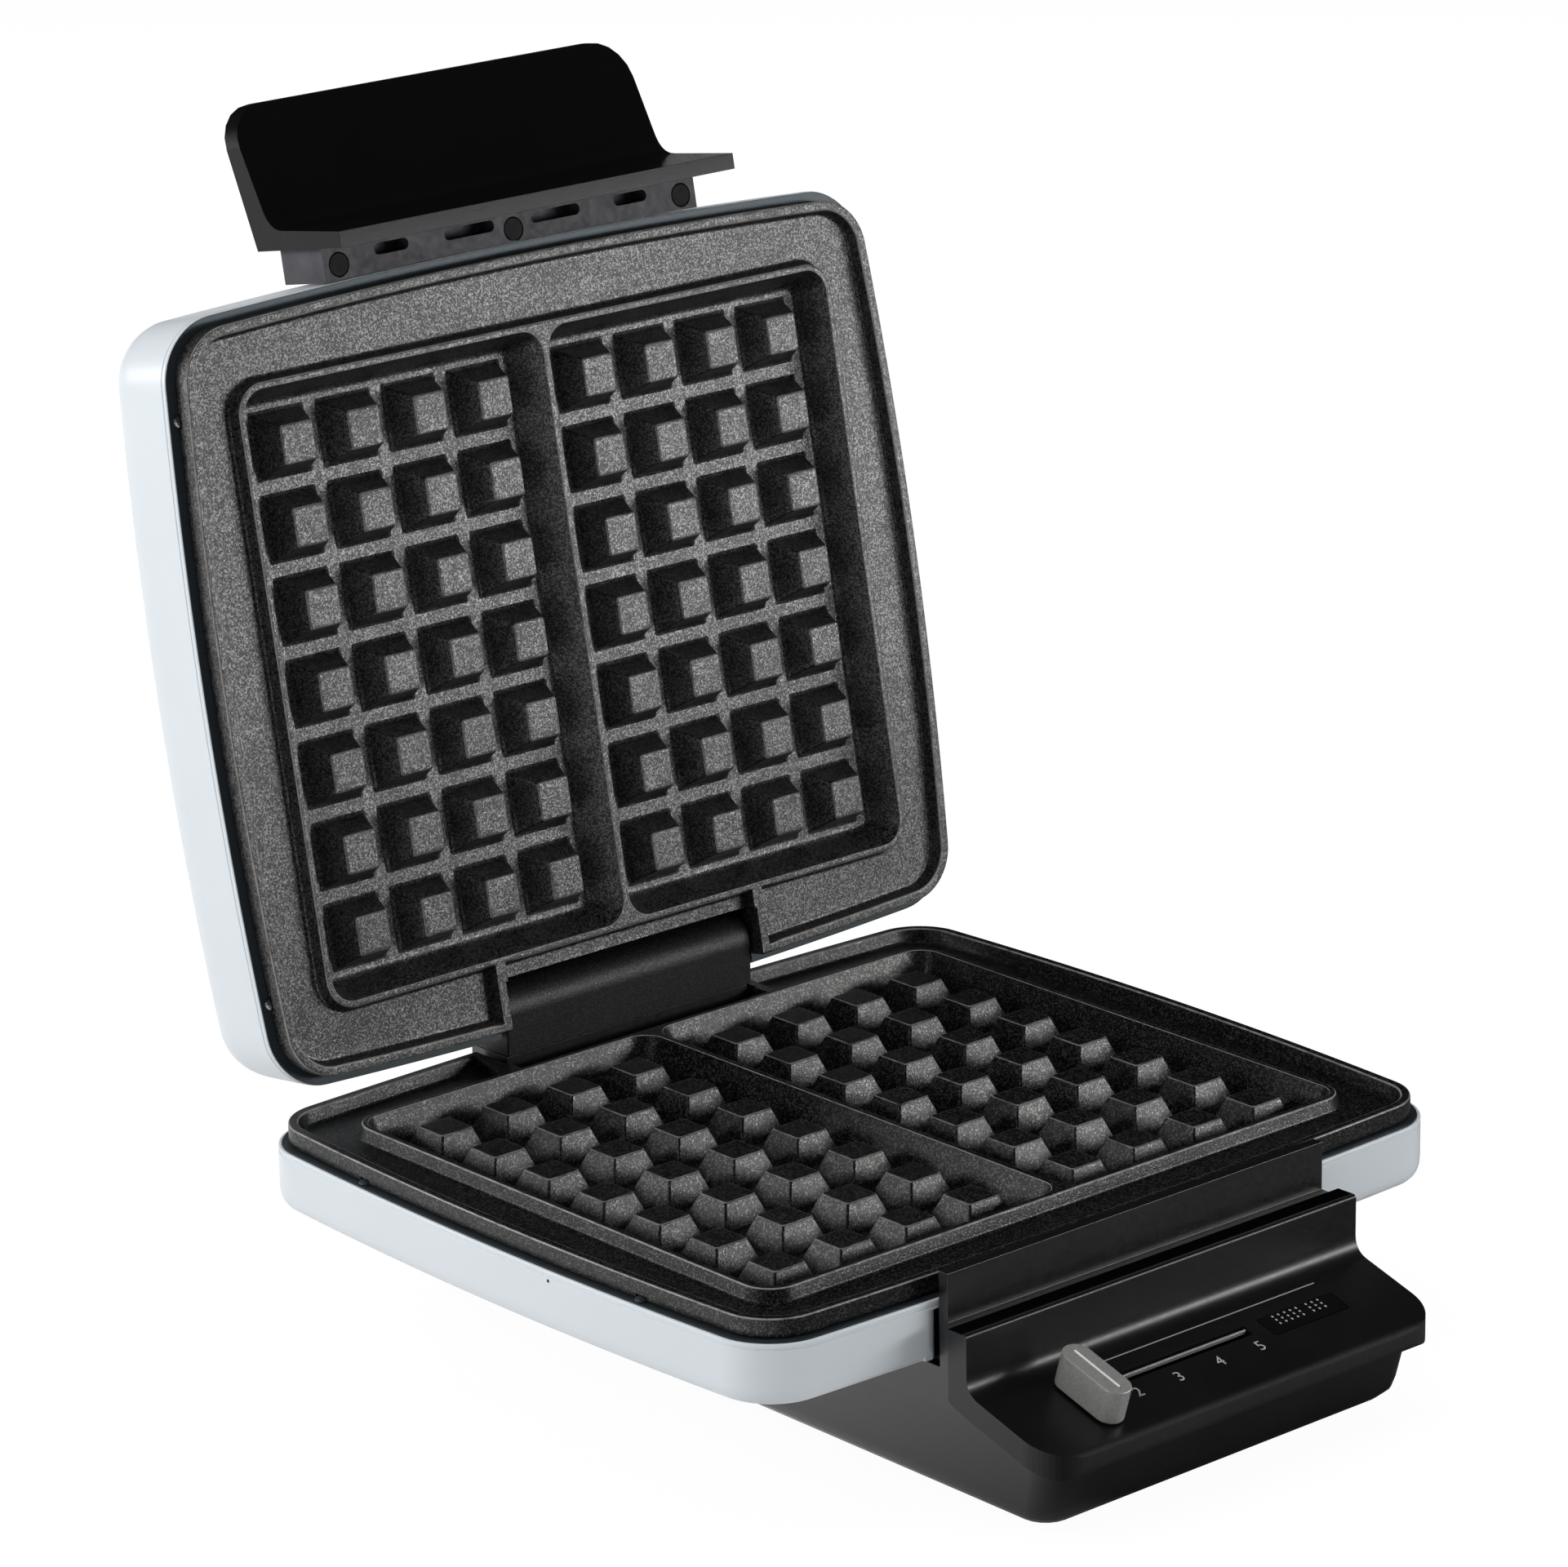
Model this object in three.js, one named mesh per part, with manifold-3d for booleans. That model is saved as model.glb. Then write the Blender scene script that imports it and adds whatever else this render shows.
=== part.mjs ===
import * as THREE from 'three';
import { mergeVertices } from 'three/addons/utils/BufferGeometryUtils.js';
import Module from 'manifold-3d';

const wasm = await Module();
wasm.setup();

// Electric waffle iron with two cooking plates, hinged lid and a sliding heat control.
// Millimetres. x to the right as seen from the front, y to the back, z up.
// Heights of the base are counted from the plane of the lower peg tops, which lies
// pegPlaneHeight above the bench. The lid has its own frame of the same kind: y runs
// from its hinge side to its handle side and z out of its cooking face.

// Fits and cutting
const seatGap = 0.3;
const cutOverrun = 6;

// Waffle grid
const pegPitch = 24;
const pegRowPitch = 23.84;
const pegTopWidth = 11.3;
const pegBaseWidth = 18.4;
const pegHeight = 9.1;
const pegRoot = 0.6;
const pegColumns = 4;
const pegRows = 7;
const dividerBaseWidth = 14;
const endChannel = 3.5;
const sideChannel = 4.5;
const wallFlare = 4.7;
const cavityFloorRadius = 3;
const cavityTopRadius = 7.5;

// Cooking plate casting
const ridgeRise = 1.6;
const ridgeTopWidth = 1.7;
const ridgeDraft = 1;
const rimWidth = 2.8;
const rimDraft = 0.9;
const rimChamfer = 0.4;
const rimFromRidge = 15.2;
const rimFromRidgeEnds = 17.2;
const sideBulge = 4.6;
const endBulge = 3.5;
const plateCornerRadius = 14;
const landDepth = 2.6;
const flangeThickness = 1.4;
const borderThickness = 2.9;
const floorThickness = 3.5;
const tubWall = 3;

// Hinge
const hingeY = 105.95;
const hingeZ = 15.16;
const openAngle = THREE.MathUtils.degToRad(100.86);
const closedPegGap = 4.2;
const barrelRadius = 8.9;
const barrelHalfWidth = 47.4;
const barrelWall = 2.3;
const barrelRunningGap = 1.05;
const notchSideGap = 1.4;
const notchRibWidth = 2.8;
const pinRadius = 2.5;
const pinHeadRadius = 4;
const pinHeadThickness = 1.5;
const armThickness = 3;
const armEyeRadius = 5;
const armFootLength = 45;
const armFootHeight = 6.5;
const bracketEarThickness = 4.4;
const bracketFloorThickness = 3;

// Trim rings, pan and lid shell
const ringOverlap = 2.2;
const ringReach = 1.6;
const ringThickness = 1.4;
const lipReach = 3;
const lipDrop = 0.3;
const lipRound = 0.6;
const shellWall = 2.4;
const panDepth = 18.7;
const panFloor = 1.9;
const panEdgeRadius = 4.5;
const panNotchInset = 3;
const panNotchRadius = 6;
const panNotchDepth = 9;
const lidDepth = 31.5;
const lidEdgeRadius = 9;
const lidDraft = 1.5;
const lidNotchDepth = 22.5;

// Plate catches
const catchHeadRadius = 1.9;
const catchHeadHeight = 1.1;
const catchShankRadius = 0.8;
const catchInset = 0.2;
const lowerCatchSpread = 60;
const upperCatchSpread = 84;

// Heating elements and reflectors
const heaterRadius = 3.3;
const heaterSideInset = 26;
const heaterEndInset = 22;
const heaterBendRadius = 24;
const heaterTailSpread = 21;
const heaterTailLength = 14;
const reflectorThickness = 0.6;
const reflectorLip = 3;
const reflectorInset = 6;

// Pedestal housing
const pegPlaneHeight = 64;
const footDrop = 2.5;
const housingWall = 2.6;
const housingTopHalfWidth = 72;
const housingMiddleDraft = 0.5;
const housingBottomDraft = 1.8;
const housingMiddleDrop = 36;
const housingFrontBottom = 153.5;
const housingFrontTop = 158;
const housingRearDraft = 2;
const housingCornerRadius = 7.5;
const housingEdgeRadius = 6.5;
const housingRimWidth = 0.8;
const riserTop = 2.4;
const riserInset = 0.5;
const frontRiserTop = 4.3;
const frontRiserThickness = 3.6;
const riserFloorClearance = 2.5;
const ledgeDrop = 10;
const deckGap = 0.3;

// Control panel
const panelOverhang = 3;
const panelBack = 121.4;
const panelLegThickness = 7.2;
const panelTop = -9.6;
const panelKneeHeight = 36.4;
const panelBendReach = 4.5;
const panelBendDrop = 5;
const panelTilt = THREE.MathUtils.degToRad(16.8);
const panelThickness = 7;
const panelLipRound = 3.4;
const panelFront = 162.5;
const panelCornerRadius = 12;
const panelEdgeRadius = 1;

// Heat slider
const scaleInset = 28.6;
const scaleToWindow = 22.4;
const slotSetback = 13.6;
const slotWidth = 4.2;
const knobLength = 24;
const knobWidth = 9;
const knobHeight = 10.5;
const knobLift = 0.6;
const knobBevel = 0.8;
const knobForward = 3.9;
const knobGrooveLength = 15.5;
const knobGrooveWidth = 1;
const knobGrooveDepth = 0.5;
const stemWidth = 3.4;
const stemLength = 6;
const carriageLength = 12;
const carriageDepth = 14;
const carriageHeight = 4;
const lugHeight = 3;
const lugDepth = 4;
const regulatorHeight = 8;
const regulatorDepth = 16;
const regulatorEndWall = 3.5;
const regulatorRunOut = 1.5;

// Indicator window and lamps
const windowLength = 29;
const windowWidth = 7.6;
const windowThickness = 0.9;
const windowInset = 36.6;
const windowSetback = 15;
const windowSeatDepth = 1.2;
const lampRadius = 2.2;
const lampLength = 9;
const lampSpread = 7.2;

// Bottom cover, feet and screws
const coverThickness = 2.5;
const coverVentCount = 6;
const coverVentLength = 46;
const coverVentWidth = 3;
const coverVentPitch = 9;
const footRadius = 7.3;
const footToeRadius = 6.6;
const footStemRadius = 3;
const footInset = 15.7;
const footFrontInset = 14.9;
const footRearInset = 15;
const screwHeadRadius = 3.2;
const screwHeadHeight = 1.6;
const screwShankRadius = 1.5;
const screwLength = 11;
const bossRadius = 4;
const bossInset = 14;
const bossFront = 100;
const bossRear = 80;
const panScrewReach = 45;
const panScrewHeadHeight = 1.2;
const panScrewHeadRadius = 2.6;
const panScrewInset = 14.2;
const panBossRadius = 3.6;
const panBossHeight = 6;

// Electrical parts
const thermostatRadius = 9;
const thermostatHeight = 16;
const thermostatCapRadius = 6;
const thermostatCapHeight = 3;
const terminalLength = 42;
const terminalDepth = 16;
const terminalHeight = 13;
const terminalSetback = 24;
const terminalWays = 4;
const terminalBoreRadius = 2.4;
const glandFlangeRadius = 9;
const glandFlangeThickness = 2.5;
const glandNeckRadius = 6;
const glandBoreRadius = 3.6;
const glandLength = 12;
const glandOffset = 40;
const glandHeight = 20;

// Handle
const handleBlockHalfWidth = 70;
const handleBlockFace = -5.4;
const handleBlockDepth = 19.5;
const handleBlockTop = 123.7;
const gripOverhang = 4;
const gripLedgeThickness = 4.7;
const gripLedgeReach = 9.8;
const gripBack = -30.3;
const gripBladeThickness = 9;
const gripFaceTilt = THREE.MathUtils.degToRad(19.6);
const gripBackTilt = THREE.MathUtils.degToRad(14.5);
const gripHeight = 41.6;
const gripLedgeRise = 1;
const gripInnerRadius = 5.5;
const gripTopRadius = 12;
const gripEdgeRadius = 1.8;
const plugRadius = 3.4;
const plugDepth = 3;
const plugInset = 5.6;
const plugSetback = 5.6;
const ventSetback = 3.4;
const ventWidth = 3.4;
const ventDepth = 7;
const innerVentCentre = 16.2;
const innerVentLength = 18.6;
const outerVentInset = 25;
const outerVentLength = 12.6;

// Smoothness of curved outlines
const cornerSteps = 5;
const footSteps = 3;
const sideSteps = 7;
const roundSides = 20;
const smallRoundSides = 12;
const tubeSides = 8;
const tubeSteps = 44;

// Dimensions that follow from those above
const channelStart = dividerBaseWidth / 2;
const firstColumn = channelStart + endChannel + pegBaseWidth / 2;
const floorHalfWidth = firstColumn + (pegColumns - 1) * pegPitch + pegBaseWidth / 2 + sideChannel;
const floorHalfDepth = ((pegRows - 1) / 2) * pegRowPitch + pegBaseWidth / 2 + endChannel;
const cavityDepth = pegHeight + ridgeRise;
const ridgeHalfWidth = floorHalfWidth + wallFlare + ridgeTopWidth;
const ridgeHalfDepth = floorHalfDepth + wallFlare + ridgeTopWidth;
const plateHalfWidth = ridgeHalfWidth + rimFromRidge;
const plateHalfDepth = ridgeHalfDepth + rimFromRidgeEnds;
const flangeUnder = -landDepth - flangeThickness;
const borderUnder = -landDepth - borderThickness;
const tubUnder = -pegHeight - floorThickness;
const ringTop = flangeUnder - seatGap;
const ringUnder = ringTop - ringThickness;
const lipTop = flangeUnder - seatGap - lipDrop;
const ringSeat = ringUnder - seatGap;
const panUnder = lipTop - panDepth;
const panInside = panUnder + panFloor;
const panNotchTop = ringSeat - shellWall / 2;
const lidUnder = lipTop - lidDepth;
const lidInside = lidUnder + shellWall;
const heaterZ = tubUnder - seatGap - heaterRadius;
const reflectorTop = heaterZ - heaterRadius - seatGap;
const notchHalfWidth = barrelHalfWidth + notchSideGap;
const riserHalfWidth = barrelHalfWidth - riserInset;
const notchStart = hingeY - barrelRadius - barrelRunningGap;
const riserFront = hingeY - barrelRadius + notchSideGap;
const riserBack = hingeY + barrelRadius;
const bracketEarHalfDepth = hingeY - riserFront - housingWall - seatGap;
const housingUnder = -pegPlaneHeight + footDrop;
const housingMiddleHalfWidth = housingTopHalfWidth - housingMiddleDraft;
const housingBottomHalfWidth = housingTopHalfWidth - housingBottomDraft;
const panelHalfWidth = housingTopHalfWidth + panelOverhang;
const windowCentre = panelHalfWidth - windowInset;
const scaleStart = -panelHalfWidth + scaleInset;
const scaleEnd = windowCentre - scaleToWindow;
const panNotchHalfWidth = housingTopHalfWidth - panNotchInset;
const panScrewSpread = housingBottomHalfWidth - panScrewInset;
const deckTop = panUnder - deckGap;
const deckUnder = deckTop - housingWall;
const frontRiserBack = plateHalfDepth + endBulge + lipReach + seatGap;
const frontRiserFront = frontRiserBack + frontRiserThickness;
const coverTop = housingUnder + seatGap + coverThickness;
const gripHalfWidth = handleBlockHalfWidth + gripOverhang;
const plugSpread = handleBlockHalfWidth - plugInset;
const outerVentCentre = handleBlockHalfWidth - outerVentInset;
const glandZ = housingUnder + glandHeight;
const riserFloor = glandZ + glandFlangeRadius + riserFloorClearance;

// Turns a geometry into a solid that can be joined or cut.
function solidOf(geometry) {
  const bare = geometry.clone();
  bare.deleteAttribute('normal');
  bare.deleteAttribute('uv');
  const welded = mergeVertices(bare);
  return new wasm.Manifold(new wasm.Mesh({
    numProp: 3,
    vertProperties: new Float32Array(welded.attributes.position.array),
    triVerts: new Uint32Array(welded.index.array),
  }));
}

// Turns a joined or cut solid back into a geometry.
function geometryOf(solid) {
  const mesh = solid.getMesh();
  const geometry = new THREE.BufferGeometry();
  geometry.setAttribute('position', new THREE.BufferAttribute(new Float32Array(mesh.vertProperties), 3));
  geometry.setIndex(new THREE.BufferAttribute(new Uint32Array(mesh.triVerts), 1));
  geometry.computeVertexNormals();
  return geometry;
}

function cut(body, ...tools) {
  return tools.reduce((rest, tool) => rest.subtract(tool), body);
}

function join(body, ...others) {
  return others.reduce((whole, other) => whole.add(other), body);
}

// A box between two opposite corners.
function block(x0, x1, y0, y1, z0, z1) {
  const geometry = new THREE.BoxGeometry(x1 - x0, y1 - y0, z1 - z0);
  geometry.translate((x0 + x1) / 2, (y0 + y1) / 2, (z0 + z1) / 2);
  return solidOf(geometry);
}

// An upright cylinder between two heights.
function post(x, y, z0, z1, radius, sides = roundSides) {
  const geometry = new THREE.CylinderGeometry(radius, radius, z1 - z0, sides);
  geometry.rotateX(Math.PI / 2);
  geometry.translate(x, y, (z0 + z1) / 2);
  return solidOf(geometry);
}

// A cylinder along x between two places.
function crossRod(x0, x1, y, z, radius, sides = roundSides) {
  const geometry = new THREE.CylinderGeometry(radius, radius, x1 - x0, sides);
  geometry.rotateZ(Math.PI / 2);
  geometry.translate((x0 + x1) / 2, y, z);
  return solidOf(geometry);
}

// A shape drawn in y and z, drawn out along x to both sides of the middle.
function crossProfile(shape, halfWidth, curveSteps = cornerSteps) {
  const geometry = new THREE.ExtrudeGeometry(shape, {
    depth: 2 * halfWidth,
    bevelEnabled: false,
    curveSegments: curveSteps,
  });
  geometry.translate(0, 0, -halfWidth);
  const toCross = new THREE.Matrix4().makeBasis(
    new THREE.Vector3(0, 1, 0),
    new THREE.Vector3(0, 0, 1),
    new THREE.Vector3(1, 0, 0),
  );
  geometry.applyMatrix4(toCross);
  return solidOf(geometry);
}

// Points of a rectangle with round corners, counter-clockwise from above.
function roundedRectangle(x0, x1, y0, y1, radius, straightSteps = 1) {
  const corners = [
    [x1 - radius, y1 - radius, 0],
    [x0 + radius, y1 - radius, 1],
    [x0 + radius, y0 + radius, 2],
    [x1 - radius, y0 + radius, 3],
  ];
  const points = [];
  corners.forEach(([centreX, centreY, quarter], index) => {
    for (let step = 0; step <= cornerSteps; step += 1) {
      const angle = (quarter + step / cornerSteps) * (Math.PI / 2);
      points.push(new THREE.Vector2(centreX + radius * Math.cos(angle), centreY + radius * Math.sin(angle)));
    }
    const from = points[points.length - 1];
    const [nextX, nextY, nextQuarter] = corners[(index + 1) % corners.length];
    const nextAngle = nextQuarter * (Math.PI / 2);
    const to = new THREE.Vector2(nextX + radius * Math.cos(nextAngle), nextY + radius * Math.sin(nextAngle));
    for (let step = 1; step < straightSteps; step += 1) {
      points.push(from.clone().lerp(to, step / straightSteps));
    }
  });
  return points;
}

// The plate's barrel-shaped outline, larger all round by grow: a rounded rectangle
// whose four sides swell to a soft arc, most at their middles.
function barrelOutline(grow) {
  const halfWidth = plateHalfWidth + grow;
  const halfDepth = plateHalfDepth + grow;
  const radius = plateCornerRadius + grow;
  return roundedRectangle(-halfWidth, halfWidth, -halfDepth, halfDepth, radius, sideSteps).map((point) => {
    const acrossShare = point.x / halfWidth;
    const alongShare = point.y / halfDepth;
    return new THREE.Vector2(
      point.x + sideBulge * acrossShare * (1 - alongShare ** 2),
      point.y + endBulge * alongShare * (1 - acrossShare ** 2),
    );
  });
}

// A closed skin over rings of equal point counts, from the first ring to the last.
// Open stacks are capped at both ends; a looped stack joins its last ring to its first.
function loft(rings, looped = false) {
  const count = rings[0].points.length;
  const positions = rings.flatMap(({ points, z }) => points.flatMap((point) => [point.x, point.y, z]));
  const faces = [];
  const spans = looped ? rings.length : rings.length - 1;
  for (let ring = 0; ring < spans; ring += 1) {
    const here = ring * count;
    const there = ((ring + 1) % rings.length) * count;
    for (let side = 0; side < count; side += 1) {
      const next = (side + 1) % count;
      faces.push(here + side, here + next, there + next);
      faces.push(here + side, there + next, there + side);
    }
  }
  if (!looped) {
    const last = (rings.length - 1) * count;
    THREE.ShapeUtils.triangulateShape(rings[0].points, []).forEach(([a, b, c]) => faces.push(a, c, b));
    THREE.ShapeUtils.triangulateShape(rings[rings.length - 1].points, [])
      .forEach(([a, b, c]) => faces.push(last + a, last + b, last + c));
  }
  const geometry = new THREE.BufferGeometry();
  geometry.setAttribute('position', new THREE.Float32BufferAttribute(positions, 3));
  geometry.setIndex(faces);
  return solidOf(geometry);
}

// A stack of barrel outlines given as pairs of growth and height.
function barrelLoft(steps, looped = false) {
  return loft(steps.map(([grow, z]) => ({ points: barrelOutline(grow), z })), looped);
}

// A turned piece from its half profile, with its axis upright at x and y.
function turned(profile, x, y, sides = roundSides) {
  const geometry = new THREE.LatheGeometry(profile.map(([radius, z]) => new THREE.Vector2(radius, z)), sides);
  geometry.rotateX(Math.PI / 2);
  geometry.translate(x, y, 0);
  return solidOf(geometry);
}

const materials = {
  blackPlastic: new THREE.MeshStandardMaterial({ color: '#161617', roughness: 0.5, metalness: 0 }),
  panelPlastic: new THREE.MeshStandardMaterial({ color: '#1b1b1e', roughness: 0.42, metalness: 0 }),
  nonStick: new THREE.MeshStandardMaterial({ color: '#2c2b2c', roughness: 0.62, metalness: 0.25 }),
  paleMetal: new THREE.MeshStandardMaterial({ color: '#dde3e8', roughness: 0.34, metalness: 0.2 }),
  brightTrim: new THREE.MeshStandardMaterial({ color: '#c9ccce', roughness: 0.15, metalness: 1 }),
  sheetSteel: new THREE.MeshStandardMaterial({ color: '#b5b6b4', roughness: 0.35, metalness: 0.9 }),
  heaterSheath: new THREE.MeshStandardMaterial({ color: '#5b554e', roughness: 0.55, metalness: 0.7 }),
  steel: new THREE.MeshStandardMaterial({ color: '#a9abad', roughness: 0.3, metalness: 1 }),
  satinSilver: new THREE.MeshStandardMaterial({ color: '#a8a8a6', roughness: 0.38, metalness: 0.6 }),
  greyPlastic: new THREE.MeshStandardMaterial({ color: '#47474b', roughness: 0.55, metalness: 0 }),
  rubber: new THREE.MeshStandardMaterial({ color: '#101010', roughness: 0.85, metalness: 0 }),
  smokedWindow: new THREE.MeshStandardMaterial({ color: '#202124', roughness: 0.15, metalness: 0 }),
  amberLamp: new THREE.MeshStandardMaterial({ color: '#c8641e', roughness: 0.3, metalness: 0 }),
  greenLamp: new THREE.MeshStandardMaterial({ color: '#4f9a4b', roughness: 0.3, metalness: 0 }),
  ceramicWhite: new THREE.MeshStandardMaterial({ color: '#e6e1d6', roughness: 0.7, metalness: 0 }),
};

function named(name, solid, material) {
  const mesh = new THREE.Mesh(geometryOf(solid), material);
  mesh.name = name;
  return mesh;
}

// Places of the four catches that hold a plate: on both sides, spread from the middle.
function catchPlaces(spread) {
  const swell = sideBulge * (1 - (spread / plateHalfDepth) ** 2);
  return [-1, 1].flatMap((side) => [-1, 1].map((end) => (
    [side * (plateHalfWidth + swell - catchInset), end * spread]
  )));
}

// Cooking plate: cast tub with two cavities of pegs, a raised ridge round them, a lower
// land and a raised rim. hingeSide is 1 where the hinge notch is at the back, -1 at the front.
function cookingPlate(hingeSide, catchSpread) {
  const flange = barrelLoft([
    [-rimWidth, borderUnder],
    [-rimWidth, flangeUnder],
    [-rimChamfer, flangeUnder],
    [0, flangeUnder + rimChamfer],
    [0, ridgeRise - rimChamfer],
    [-rimChamfer, ridgeRise],
  ]);
  const tub = loft([
    {
      points: roundedRectangle(
        -floorHalfWidth - tubWall,
        floorHalfWidth + tubWall,
        -floorHalfDepth - tubWall,
        floorHalfDepth + tubWall,
        cavityFloorRadius + tubWall,
      ),
      z: tubUnder,
    },
    {
      points: roundedRectangle(
        -ridgeHalfWidth,
        ridgeHalfWidth,
        -ridgeHalfDepth,
        ridgeHalfDepth,
        cavityTopRadius + ridgeTopWidth,
      ),
      z: (borderUnder - landDepth) / 2,
    },
  ]);
  const draftPerHeight = rimDraft / (ridgeRise + landDepth);
  const insideRim = barrelLoft([
    [-rimWidth - rimDraft, -landDepth],
    [-rimWidth + draftPerHeight * cutOverrun, ridgeRise + cutOverrun],
  ]);
  const ridgeLift = ridgeDraft * (cutOverrun / (ridgeRise + landDepth));
  const ridge = loft([
    {
      points: roundedRectangle(
        -ridgeHalfWidth - ridgeDraft - ridgeLift,
        ridgeHalfWidth + ridgeDraft + ridgeLift,
        -ridgeHalfDepth - ridgeDraft - ridgeLift,
        ridgeHalfDepth + ridgeDraft + ridgeLift,
        cavityTopRadius + ridgeTopWidth + ridgeDraft,
      ),
      z: -landDepth - cutOverrun,
    },
    {
      points: roundedRectangle(
        -ridgeHalfWidth + ridgeLift,
        ridgeHalfWidth - ridgeLift,
        -ridgeHalfDepth + ridgeLift,
        ridgeHalfDepth - ridgeLift,
        cavityTopRadius + ridgeTopWidth - ridgeLift,
      ),
      z: ridgeRise + cutOverrun,
    },
  ]);
  const ribs = [-1, 1].map((side) => {
    const inner = side * notchHalfWidth;
    const outer = side * (notchHalfWidth + notchRibWidth);
    const near = hingeSide * (ridgeHalfDepth - ridgeTopWidth / 2);
    const far = hingeSide * (plateHalfDepth + endBulge);
    return block(
      Math.min(inner, outer),
      Math.max(inner, outer),
      Math.min(near, far),
      Math.max(near, far),
      -landDepth - cutOverrun,
      ridgeRise + 2 * cutOverrun,
    );
  });
  const land = cut(insideRim, ridge, ...ribs);

  const flarePerHeight = wallFlare / cavityDepth;
  const topFlare = wallFlare + flarePerHeight * cutOverrun;
  const dividerFlare = (dividerBaseWidth - ridgeTopWidth) / 2;
  const dividerTopFlare = dividerFlare + (dividerFlare / cavityDepth) * cutOverrun;
  const cavities = [-1, 1].map((side) => {
    const floorEdges = [side * channelStart, side * floorHalfWidth];
    const topEdges = [side * (channelStart - dividerTopFlare), side * (floorHalfWidth + topFlare)];
    return loft([
      {
        points: roundedRectangle(
          Math.min(...floorEdges),
          Math.max(...floorEdges),
          -floorHalfDepth,
          floorHalfDepth,
          cavityFloorRadius,
        ),
        z: -pegHeight,
      },
      {
        points: roundedRectangle(
          Math.min(...topEdges),
          Math.max(...topEdges),
          -floorHalfDepth - topFlare,
          floorHalfDepth + topFlare,
          cavityTopRadius + flarePerHeight * cutOverrun,
        ),
        z: ridgeRise + cutOverrun,
      },
    ]);
  });

  const diagonalShare = Math.SQRT1_2;
  const draftPerPegHeight = (pegBaseWidth - pegTopWidth) / pegHeight;
  const rootWidth = pegBaseWidth + draftPerPegHeight * pegRoot;
  const pegGeometry = new THREE.CylinderGeometry(
    pegTopWidth * diagonalShare,
    rootWidth * diagonalShare,
    pegHeight + pegRoot,
    4,
  );
  pegGeometry.rotateX(Math.PI / 2);
  pegGeometry.rotateZ(Math.PI / 4);
  pegGeometry.translate(0, 0, -(pegHeight + pegRoot) / 2);
  const peg = solidOf(pegGeometry);
  const pegs = [];
  for (const side of [-1, 1]) {
    for (let column = 0; column < pegColumns; column += 1) {
      for (let row = 0; row < pegRows; row += 1) {
        const x = side * (firstColumn + column * pegPitch);
        const y = (row - (pegRows - 1) / 2) * pegRowPitch;
        pegs.push(peg.translate([x, y, 0]));
      }
    }
  }

  const notchEnds = [hingeSide * notchStart, hingeSide * (plateHalfDepth + endBulge + cutOverrun)];
  const notch = block(
    -notchHalfWidth,
    notchHalfWidth,
    Math.min(...notchEnds),
    Math.max(...notchEnds),
    tubUnder - cutOverrun,
    ridgeRise + cutOverrun,
  );
  const catchPockets = catchPlaces(catchSpread).map(([x, y]) => (
    post(x, y, borderUnder, ringTop + catchHeadHeight + 2 * seatGap, catchHeadRadius + seatGap, smallRoundSides)
  ));
  return join(cut(join(flange, tub), land, ...cavities, notch, ...catchPockets), ...pegs);
}

// Bright trim ring: a flat band under the plate's edge, resting on the ledge inside the wall.
function trimRing(hingeSide, catchSpread) {
  const ring = barrelLoft([
    [-ringOverlap, ringUnder],
    [ringReach, ringUnder],
    [ringReach, ringTop],
    [-ringOverlap, ringTop],
  ], true);
  const ends = [hingeSide * notchStart, hingeSide * (plateHalfDepth + endBulge + cutOverrun)];
  const notch = block(
    -notchHalfWidth,
    notchHalfWidth,
    Math.min(...ends),
    Math.max(...ends),
    ringUnder - cutOverrun,
    ringTop + cutOverrun,
  );
  const catchHoles = catchPlaces(catchSpread).map(([x, y]) => (
    post(x, y, ringUnder - cutOverrun, ringTop + cutOverrun, catchShankRadius + seatGap, smallRoundSides)
  ));
  return cut(ring, notch, ...catchHoles);
}

// Plate catch: a small domed stud whose shank passes through the trim ring.
function plateCatch(x, y) {
  const seat = ringTop + seatGap;
  const dome = new THREE.Path();
  dome.moveTo(0, ringUnder);
  dome.lineTo(catchShankRadius, ringUnder);
  dome.lineTo(catchShankRadius, seat);
  dome.lineTo(catchHeadRadius, seat);
  dome.quadraticCurveTo(catchHeadRadius, seat + catchHeadHeight, 0, seat + catchHeadHeight);
  const profile = dome.getPoints(cornerSteps - 1).map((point) => [point.x, point.y]);
  return turned(profile, x, y, smallRoundSides);
}

// Distance of a barrel outline's front face from the plate's middle line, at a given x.
function barrelFace(x, grow) {
  return plateHalfDepth + grow + endBulge * (1 - (x / (plateHalfWidth + grow)) ** 2);
}

// Rings of a rounded lower edge, from the flat underside to the foot of the wall.
function roundedFoot(foot, under, radius) {
  return Array.from({ length: footSteps + 1 }, (_, step) => {
    const angle = (step / footSteps) * (Math.PI / 2);
    return [foot - radius * (1 - Math.sin(angle)), under + radius * (1 - Math.cos(angle))];
  });
}

// Deep-drawn tray: rounded lower edge, straight wall with a stepped lip that seats the
// ring. What is kept stays solid inside the hollow, as the return wall of a notch does.
function tray(under, inside, edgeRadius, draft, ...kept) {
  const foot = lipReach - draft;
  const outside = barrelLoft([
    ...roundedFoot(foot, under, edgeRadius),
    [lipReach, lipTop - lipRound],
    [lipReach - lipRound, lipTop],
  ]);
  const innerFoot = foot - shellWall;
  const innerRadius = edgeRadius - shellWall / 2;
  const hollow = barrelLoft([
    [innerFoot - innerRadius, inside],
    [innerFoot, inside + innerRadius],
    [lipReach - shellWall, ringSeat],
    [lipReach - shellWall, lipTop + cutOverrun],
  ]);
  const lipSeat = barrelLoft([
    [ringReach + seatGap, ringSeat],
    [ringReach + seatGap, lipTop + cutOverrun],
  ]);
  return cut(outside, cut(hollow, ...kept), lipSeat);
}

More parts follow.
